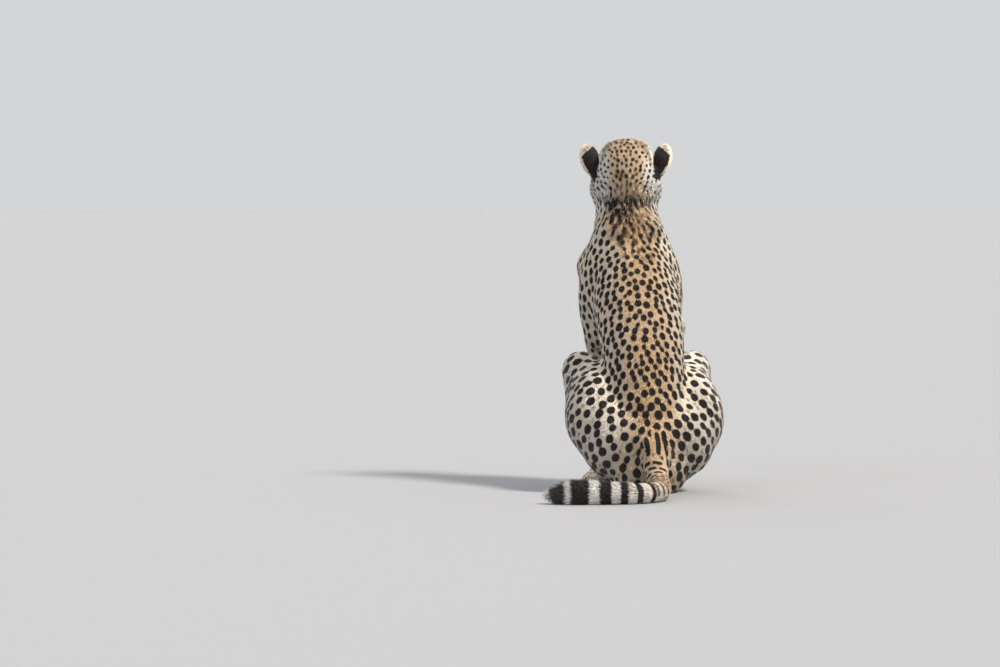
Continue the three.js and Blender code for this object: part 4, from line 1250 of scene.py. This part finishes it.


# Short coarse fur with round spots: matt, a soft sheen at grazing angles, darker down at the roots
# as painted shade deep in the coat.
def furMaterial(name, roughness):
    m = newMaterial(name)
    place = addNode(m, "ShaderNodeTexCoord").outputs["Object"]
    gold, brown, black, tint, toTip = (
        addNode(m, "ShaderNodeAttribute", attribute_name=word).outputs["Fac"]
        for word in ("gold", "brown", "black", "tint", "toTip")
    )
    # The edge of a mark is ragged over some 2.4 mm, and the ground varies over some 26 mm.
    fine = addNode(m, "ShaderNodeTexNoise", {"Vector": place, "Scale": 420, "Detail": 2})
    patches = addNode(m, "ShaderNodeTexNoise", {"Vector": place, "Scale": 38, "Detail": 3})
    varied = addNode(m, "ShaderNodeMath", {0: patches, 1: 0.34, 2: -0.17}, operation="MULTIPLY_ADD")
    golden = addNode(m, "ShaderNodeMath", {0: gold, 1: varied}, operation="ADD", use_clamp=True)
    ground = addNode(m, "ShaderNodeValToRGB", {"Fac": golden})
    stops = ground.color_ramp.elements
    stops[0].color = linear(furColours["white"])
    stops[1].color = linear(furColours["gold"])
    stops.new(0.34).color = linear(furColours["cream"])
    stops.new(0.64).color = linear(furColours["tan"])
    # A colour mix has its share at 0, its colours at 6 and 7 and its result at 2.
    colours = {0: brown, 6: ground, 7: linear(furColours["brown"])}
    specks = addNode(m, "ShaderNodeMix", colours, data_type="RGBA").outputs[2]
    # The black marks have an edge about a millimetre wide.
    centred = addNode(m, "ShaderNodeMath", {0: fine, 1: 0.5}, operation="SUBTRACT")
    ragged = addNode(m, "ShaderNodeMath", {0: centred, 1: 2.4}, operation="MULTIPLY")
    distance = addNode(m, "ShaderNodeMath", {0: black, 1: ragged}, operation="ADD")
    limits = {"Value": distance, "From Min": -0.7, "From Max": 0.9, "To Min": 1, "To Max": 0}
    edge = addNode(m, "ShaderNodeMapRange", limits, interpolation_type="SMOOTHSTEP")
    colours = {0: edge, 6: specks, 7: linear(furColours["black"])}
    dark = addNode(m, "ShaderNodeMix", colours, data_type="RGBA").outputs[2]
    # Each tuft is a little lighter or darker than the next, and darker at its root: painted shade
    # where the tufts cover each other.
    tint = addNode(m, "ShaderNodeMath", {0: tint, 1: 0.065}, operation="MULTIPLY")
    root = addNode(m, "ShaderNodeMath", {0: toTip, 1: 0.19, 2: 0.89}, operation="MULTIPLY_ADD")
    value = addNode(m, "ShaderNodeMath", {0: tint, 1: root}, operation="ADD")
    heights = {"Height": fine, "Strength": 0.35, "Distance": 0.0008}
    look = {
        "Base Color": addNode(m, "ShaderNodeHueSaturation", {"Color": dark, "Value": value}),
        "Normal": addNode(m, "ShaderNodeBump", heights),
        "Roughness": roughness,
        "Sheen Weight": 0.25,
        "Sheen Roughness": 0.45,
        "IOR": 1.45,
        "Specular IOR Level": 0.3,
    }
    shader = addNode(m, "ShaderNodeBsdfPrincipled", look)
    addNode(m, "ShaderNodeOutputMaterial", {"Surface": shader})
    return m


coatMaterial = furMaterial("short spotted fur", 0.72)
skin.data.materials.append(furMaterial("skin under short fur", 0.85))
for piece in pieces:
    piece.data.materials.append(coatMaterial)

eyeLook = {
    "iris": 12.4,  # radii as seen from in front, mm
    "pupil": 5.4,
    "bulge": 1.2,  # how far the cornea stands out, from so far beyond the iris inward
    "bulgeEdge": 1.5,
    "gaze": 11,  # degrees outward
    "amber": "#9C6A2C",
    "amberEdge": "#6B4219",
    "dark": "#0E0907",
    "rim": "#3A2A20",
}


# A wet eye: an amber iris with fine spokes round a dark pupil, under a clear shining coat.
def eyeMaterial(name, centre, gaze):
    m = newMaterial(name)
    place = addNode(m, "ShaderNodeTexCoord").outputs["Object"]
    turned = gaze.to_track_quat("Z", "Y").to_matrix().inverted()
    inputs = {"Vector": place, "Rotation": turned.to_euler(), "Location": -(turned @ centre)}
    mapped = addNode(m, "ShaderNodeMapping", inputs, vector_type="POINT")
    x, y, _ = addNode(m, "ShaderNodeSeparateXYZ", {"Vector": mapped}).outputs
    x2, y2 = (addNode(m, "ShaderNodeMath", {0: v, 1: v}, operation="MULTIPLY") for v in (x, y))
    squares = addNode(m, "ShaderNodeMath", {0: x2, 1: y2}, operation="ADD")
    metres = addNode(m, "ShaderNodeMath", {0: squares}, operation="SQRT")
    radius = addNode(m, "ShaderNodeMath", {0: metres, 1: 1000}, operation="MULTIPLY")
    share = addNode(m, "ShaderNodeMath", {0: radius, 1: headSizes["eyeRadius"]}, operation="DIVIDE")
    colour = addNode(m, "ShaderNodeValToRGB", {"Fac": share})
    stops = colour.color_ramp.elements
    stops[0].color = linear(eyeLook["dark"])
    stops[1].color = linear(eyeLook["rim"])
    pupil, iris = (eyeLook[k] / headSizes["eyeRadius"] for k in ("pupil", "iris"))
    for position, word in (
        (pupil, "dark"),
        (pupil + 0.025, "amberEdge"),
        (pupil + 0.11, "amber"),
        (iris - 0.09, "amber"),
        (iris - 0.02, "amberEdge"),
        (iris + 0.02, "dark"),
        (iris + 0.14, "rim"),
    ):
        stops.new(position).color = linear(eyeLook[word])
    # 46 spokes, broken up by flecks of some 1.1 mm.
    angle = addNode(m, "ShaderNodeMath", {0: y, 1: x}, operation="ARCTAN2")
    turns = addNode(m, "ShaderNodeMath", {0: angle, 1: 46}, operation="MULTIPLY")
    spokes = addNode(m, "ShaderNodeMath", {0: turns}, operation="SINE")
    flecks = addNode(m, "ShaderNodeTexNoise", {"Vector": place, "Scale": 900})
    streak = addNode(m, "ShaderNodeMath", {0: spokes, 1: flecks}, operation="MULTIPLY")
    value = addNode(m, "ShaderNodeMath", {0: streak, 1: 0.3, 2: 1}, operation="MULTIPLY_ADD")
    look = {
        "Base Color": addNode(m, "ShaderNodeHueSaturation", {"Color": colour, "Value": value}),
        "Roughness": 0.3,
        "IOR": 1.376,
        "Specular IOR Level": 0.1,
        "Coat Weight": 0.22,
        "Coat Roughness": 0.05,
    }
    shader = addNode(m, "ShaderNodeBsdfPrincipled", look)
    addNode(m, "ShaderNodeOutputMaterial", {"Surface": shader})
    return m


def makeEye(side, word):
    centre = middleOf("eye_" + word)
    radius = headSizes["eyeRadius"] * mm
    deselectAll()
    bpy.ops.mesh.primitive_uv_sphere_add(segments=48, ring_count=32, radius=radius)
    thing = bpy.context.active_object
    thing.name = "eye_ball_" + word
    gaze = headFacing(side, eyeLook["gaze"])
    turn = gaze.to_track_quat("Z", "Y").to_matrix()
    points = pointsOf(thing.data)
    r = np.hypot(points[:, 0], points[:, 1]) / mm
    rise = step(eyeLook["iris"] + eyeLook["bulgeEdge"], 0, r) * (points[:, 2] > 0)
    points[:, 2] += rise * eyeLook["bulge"] * mm
    movePoints(thing.data, points @ np.array(turn).T + np.array(centre))
    bpy.ops.object.shade_smooth()
    thing.data.materials.append(eyeMaterial("wet amber eye " + word, centre, gaze))
    return thing


eyes = [makeEye(*side) for side in sides]
report("eyes made")

# The lids are thin shells close over the eyeballs, tucked under the edge of the skin.
lidSizes = {
    "radius": 18.1,  # mm
    "thickness": 1.1,
    "overlap": 0.15,  # by which the upper lid lies over the lower
    "facing": 6,  # the rest in degrees: outward, half width, from the middle to a corner
    "reach": 82,
    "width": 57,
    "fold": 78,  # how far up or down the lids run under the skin
    "upper": (21, -29, 9),  # height of the margin: middle, bow, slant to the outside
    "lower": (-31, 23, 9),
}


def makeLid(side, word, which):
    deselectAll()
    # A flat sheet that is then laid round the eye.
    bpy.ops.mesh.primitive_grid_add(x_subdivisions=36, y_subdivisions=10, size=2)
    thing = bpy.context.active_object
    points = pointsOf(thing.data)
    azimuth = points[:, 0] * lidSizes["reach"]
    outwards = np.clip(side * azimuth / lidSizes["width"], -1, 1)
    middle, bow, slant = lidSizes[which]
    margin = middle + bow * outwards**2 + slant * outwards
    top = lidSizes["fold"] * (1 if which == "upper" else -1)
    t = (points[:, 1] + 1) / 2
    rise = np.radians(margin + t**1.4 * (top - margin))
    azimuth = np.radians(azimuth)
    level = np.cos(rise)
    shape = [np.sin(azimuth) * level, np.sin(rise), np.cos(azimuth) * level]
    turn = headFacing(side, lidSizes["facing"]).to_track_quat("Z", "Y").to_matrix()
    radius = lidSizes["radius"] + (lidSizes["overlap"] if which == "upper" else 0)
    shape = np.stack(shape, axis=1) * radius * mm
    movePoints(thing.data, shape @ np.array(turn).T + np.array(middleOf("eye_" + word)))
    bpy.ops.object.mode_set(mode="EDIT")
    bpy.ops.mesh.select_all(action="SELECT")
    if which == "lower":
        bpy.ops.mesh.flip_normals()
    bpy.ops.object.mode_set(mode="OBJECT")
    applied(thing, "SOLIDIFY", thickness=lidSizes["thickness"] * mm, offset=1)
    bpy.ops.object.shade_smooth()
    return thing


# The groove colour is painted shade in the sunken grooves between the pebbles.
noseLook = {"pebble": "#2B201B", "grooveShade": "#120D0B", "voxel": 0.7 * mm, "smoothing": 5}


# Nose leather, moist bare skin: almost black, finely pebbled, with painted shade in the grooves and
# a low broken shine.
def noseMaterial():
    m = newMaterial("moist nose leather")
    place = addNode(m, "ShaderNodeTexCoord").outputs["Object"]
    # Pebbles of some 1.1 mm; the grooves between them are painted darker as shade.
    pebbles = addNode(m, "ShaderNodeTexVoronoi", {"Vector": place, "Scale": 900})
    colour = addNode(m, "ShaderNodeValToRGB", {"Fac": pebbles})
    colour.color_ramp.elements[0].color = linear(noseLook["pebble"])
    colour.color_ramp.elements[1].color = linear(noseLook["grooveShade"])
    heights = {"Height": pebbles, "Strength": 0.5, "Distance": 0.0004}
    normal = addNode(m, "ShaderNodeBump", heights, invert=True)
    look = {"Base Color": colour, "Normal": normal, "Roughness": 0.38, "IOR": 1.42}
    shader = addNode(m, "ShaderNodeBsdfPrincipled", look)
    addNode(m, "ShaderNodeOutputMaterial", {"Surface": shader})
    return m


def makeNose():
    thing = copyOf("nose", "nose_leather")
    applied(thing, "REMESH", mode="VOXEL", voxel_size=noseLook["voxel"], adaptivity=0)
    applied(thing, "SMOOTH", factor=0.5, iterations=noseLook["smoothing"])
    bpy.ops.object.shade_smooth()
    thing.data.materials.append(noseMaterial())
    return thing


nose = makeNose()
report("nose made")


# Horn, hair or bare skin of one colour: even, with a faint grain of some 1.4 mm.
def plainMaterial(name, colour, roughness, ior):
    m = newMaterial(name)
    place = addNode(m, "ShaderNodeTexCoord").outputs["Object"]
    grain = addNode(m, "ShaderNodeTexNoise", {"Vector": place, "Scale": 700, "Detail": 3})
    value = addNode(m, "ShaderNodeMath", {0: grain, 1: 0.5, 2: 0.75}, operation="MULTIPLY_ADD")
    tone = addNode(m, "ShaderNodeHueSaturation", {"Color": linear(colour), "Value": value})
    normal = addNode(m, "ShaderNodeBump", {"Height": grain, "Strength": 0.2, "Distance": 0.0003})
    look = {"Base Color": tone, "Normal": normal, "Roughness": roughness, "IOR": ior}
    shader = addNode(m, "ShaderNodeBsdfPrincipled", look)
    addNode(m, "ShaderNodeOutputMaterial", {"Surface": shader})
    return m


def bentRod(name, root, tip, radii, bend, corners, rings):
    # A thin cone from root to tip whose middle is moved by the bend.
    deselectAll()
    bpy.ops.mesh.primitive_cone_add(vertices=corners, radius1=radii[0], radius2=radii[1], depth=1)
    thing = bpy.context.active_object
    bpy.ops.object.mode_set(mode="EDIT")
    bpy.ops.mesh.select_all(action="SELECT")
    for i in range(1, rings):
        bpy.ops.mesh.bisect(plane_co=(0, 0, -0.5 + i / rings), plane_no=(0, 0, 1))
        bpy.ops.mesh.select_all(action="SELECT")
    bpy.ops.object.mode_set(mode="OBJECT")
    points = pointsOf(thing.data)
    t = points[:, 2] + 0.5
    way = tip - root
    turn = np.array(way.to_track_quat("Z", "Y").to_matrix())
    flat = points * np.array([1, 1, 0])
    made = flat @ turn.T + np.array(root) + t[:, None] * np.array(way)
    made += (t * (1 - t) * 4)[:, None] * np.array(bend)
    movePoints(thing.data, made)
    bpy.ops.object.shade_smooth()
    thing.name = name
    return thing


whiskerSizes = {
    "rows": 4,
    "hairs": 4,  # in a row, each longer than the one before it
    "first": (19, 126, -26),  # out, ahead and up, mm
    "length": 46,
    "longer": 9,
    "varied": 10,
    "sunk": 3,
    "root": 0.45,  # radii
    "tip": 0.12,
    "bow": 0.05,  # in shares of the length
    "out": 0.93,  # which way a hair points, and how much further back the next one does
    "back": 0.35,
    "further": 0.12,
    "droop": (-8, -9, 8),  # in sixtieths: of the upper row, more for each row, at random
}


def makeClaws():
    radii = (clawSizes["root"] * mm, clawSizes["tip"] * mm)
    bend = Vector((0, 0, clawSizes["curve"])) * mm
    made = [bentRod("claw", root, tip, radii, bend, 10, 5) for root, tip in clawEnds()]
    claws = joinedAs("claws", made)
    # Worn horn, dark brown, with a dull polish.
    claws.data.materials.append(plainMaterial("dark claw horn", "#2A221D", 0.4, 1.54))
    return claws


def makeWhiskers():
    made = []
    radii = (whiskerSizes["root"] * mm, whiskerSizes["tip"] * mm)
    places = product(sides, range(whiskerSizes["rows"]), range(whiskerSizes["hairs"]))
    for (side, _), row, n in places:
        x, y, z = whiskerSizes["first"]
        out, ahead = x + whiskerRows["out"] * n, y - whiskerRows["back"] * n
        root = headPlace(side, out, ahead, z - whiskerRows["down"] * row)
        length = whiskerSizes["length"] + whiskerSizes["longer"] * n
        length += whiskerSizes["varied"] * randomDraw.random()
        first, more, varied = whiskerSizes["droop"]
        droop = first + more * row + varied * randomDraw.random()
        back = whiskerSizes["back"] + whiskerSizes["further"] * n
        way = headTurn @ Vector((side * whiskerSizes["out"], back, droop / 60)).normalized()
        bow = whiskerSizes["bow"] * length
        bend = headTurn @ Vector((0, -bow, bow)) * mm
        ends = (root - way * whiskerSizes["sunk"] * mm, root + way * length * mm)
        made.append(bentRod("whisker", *ends, radii, bend, 5, 6))
    whiskers = joinedAs("whiskers", made)
    # Stiff white hair, smooth enough to catch the light.
    whiskers.data.materials.append(plainMaterial("white whisker hair", "#F2EDE4", 0.4, 1.55))
    return whiskers


lids = [makeLid(*side, which) for side, which in product(sides, ("upper", "lower"))]
lids = joinedAs("eyelids", lids)
# Bare dark skin round the eyes, nearly black and matt.
lids.data.materials.append(plainMaterial("dark bare skin of the lids", "#14100D", 0.6, 1.4))
claws = makeClaws()
whiskers = makeWhiskers()
report("claws and whiskers made")

for thing in [skin, nose, claws, whiskers, lids, *eyes, *pieces]:
    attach(thing, "root")
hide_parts(*fleshNodes)
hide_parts("nose")
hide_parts("eye_left")
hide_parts("eye_right")

stageLook = {"floor": "#999A9D", "world": "#F2F3F4", "worldStrength": 0.74}


def makeFloor():
    deselectAll()
    bpy.ops.mesh.primitive_plane_add(size=80)
    floor = bpy.context.active_object
    floor.name = "floor"
    m = newMaterial("pale matt floor")
    look = {"Base Color": linear(stageLook["floor"]), "Roughness": 0.9}
    shader = addNode(m, "ShaderNodeBsdfPrincipled", look)
    addNode(m, "ShaderNodeOutputMaterial", {"Surface": shader})
    floor.data.materials.append(m)
    floor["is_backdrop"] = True


lights = {
    # where it stands and how wide it looks, in degrees, power, colour
    "key light": (-54, 50, 12, 4.3, "#FFF8EF"),
    "fill light": (60, 30, 40, 0.35, "#EAF1FF"),
    "front light": (170, 40, 40, 0.8, "#FFFFFF"),
}


def makeLight(name, azimuth, height, width, power, colour):
    # A broad far light.
    light = bpy.data.lights.new(name, "SUN")
    light.angle = math.radians(width)
    light.energy = power
    light.color = linear(colour)[:3]
    thing = bpy.data.objects.new(name, light)
    bpy.context.scene.collection.objects.link(thing)
    turn, rise = math.radians(azimuth), math.radians(height)
    way = Vector((math.sin(turn) * math.cos(rise), math.cos(turn) * math.cos(rise), math.sin(rise)))
    thing.rotation_euler = way.to_track_quat("Z", "Y").to_euler()


makeFloor()
for name, look in lights.items():
    makeLight(name, *look)
world = bpy.data.worlds.new("studio")
bpy.context.scene.world = world
world.use_nodes = True
sky = world.node_tree.nodes["Background"].inputs
sky["Color"].default_value = linear(stageLook["world"])
sky["Strength"].default_value = stageLook["worldStrength"]

cameraLook = {
    "distance": 12.0,  # m, from a place on the ground under the animal
    "azimuth": 10,  # degrees round from straight behind
    "height": 0.905,
    "pixelsToMetre": 400,
    "columns": 1000,  # of the picture
    "rows": 667,
    "modelColumn": 620.5,  # where the middle of the footprint stands
    "horizonRow": 130,
}


def makeCamera():
    turn = math.radians(cameraLook["azimuth"])
    away = Vector((math.sin(turn), math.cos(turn), 0))
    right = Vector((-math.cos(turn), math.sin(turn), 0))
    focal = cameraLook["pixelsToMetre"] * cameraLook["distance"]
    aside = math.atan((cameraLook["modelColumn"] - cameraLook["columns"] / 2) / focal)
    pitch = math.atan((cameraLook["rows"] / 2 - cameraLook["horizonRow"]) / focal)
    level = -away * math.cos(aside) - right * math.sin(aside)
    look = level * math.cos(pitch) + Vector((0, 0, -math.sin(pitch)))
    camera = bpy.data.objects.new("camera", bpy.data.cameras.new("camera"))
    bpy.context.scene.collection.objects.link(camera)
    camera.data.sensor_width = 36
    camera.data.lens = focal / cameraLook["columns"] * 36
    camera.data.clip_end = 200
    camera.location = away * cameraLook["distance"] + Vector((0, 0, cameraLook["height"]))
    camera.rotation_euler = look.to_track_quat("-Z", "Y").to_euler()
    bpy.context.scene.camera = camera


makeCamera()
bpy.context.scene.view_settings.view_transform = "Standard"
low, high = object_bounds()
report(f"visual box {[round(v, 4) for v in low]} {[round(v, 4) for v in high]}")
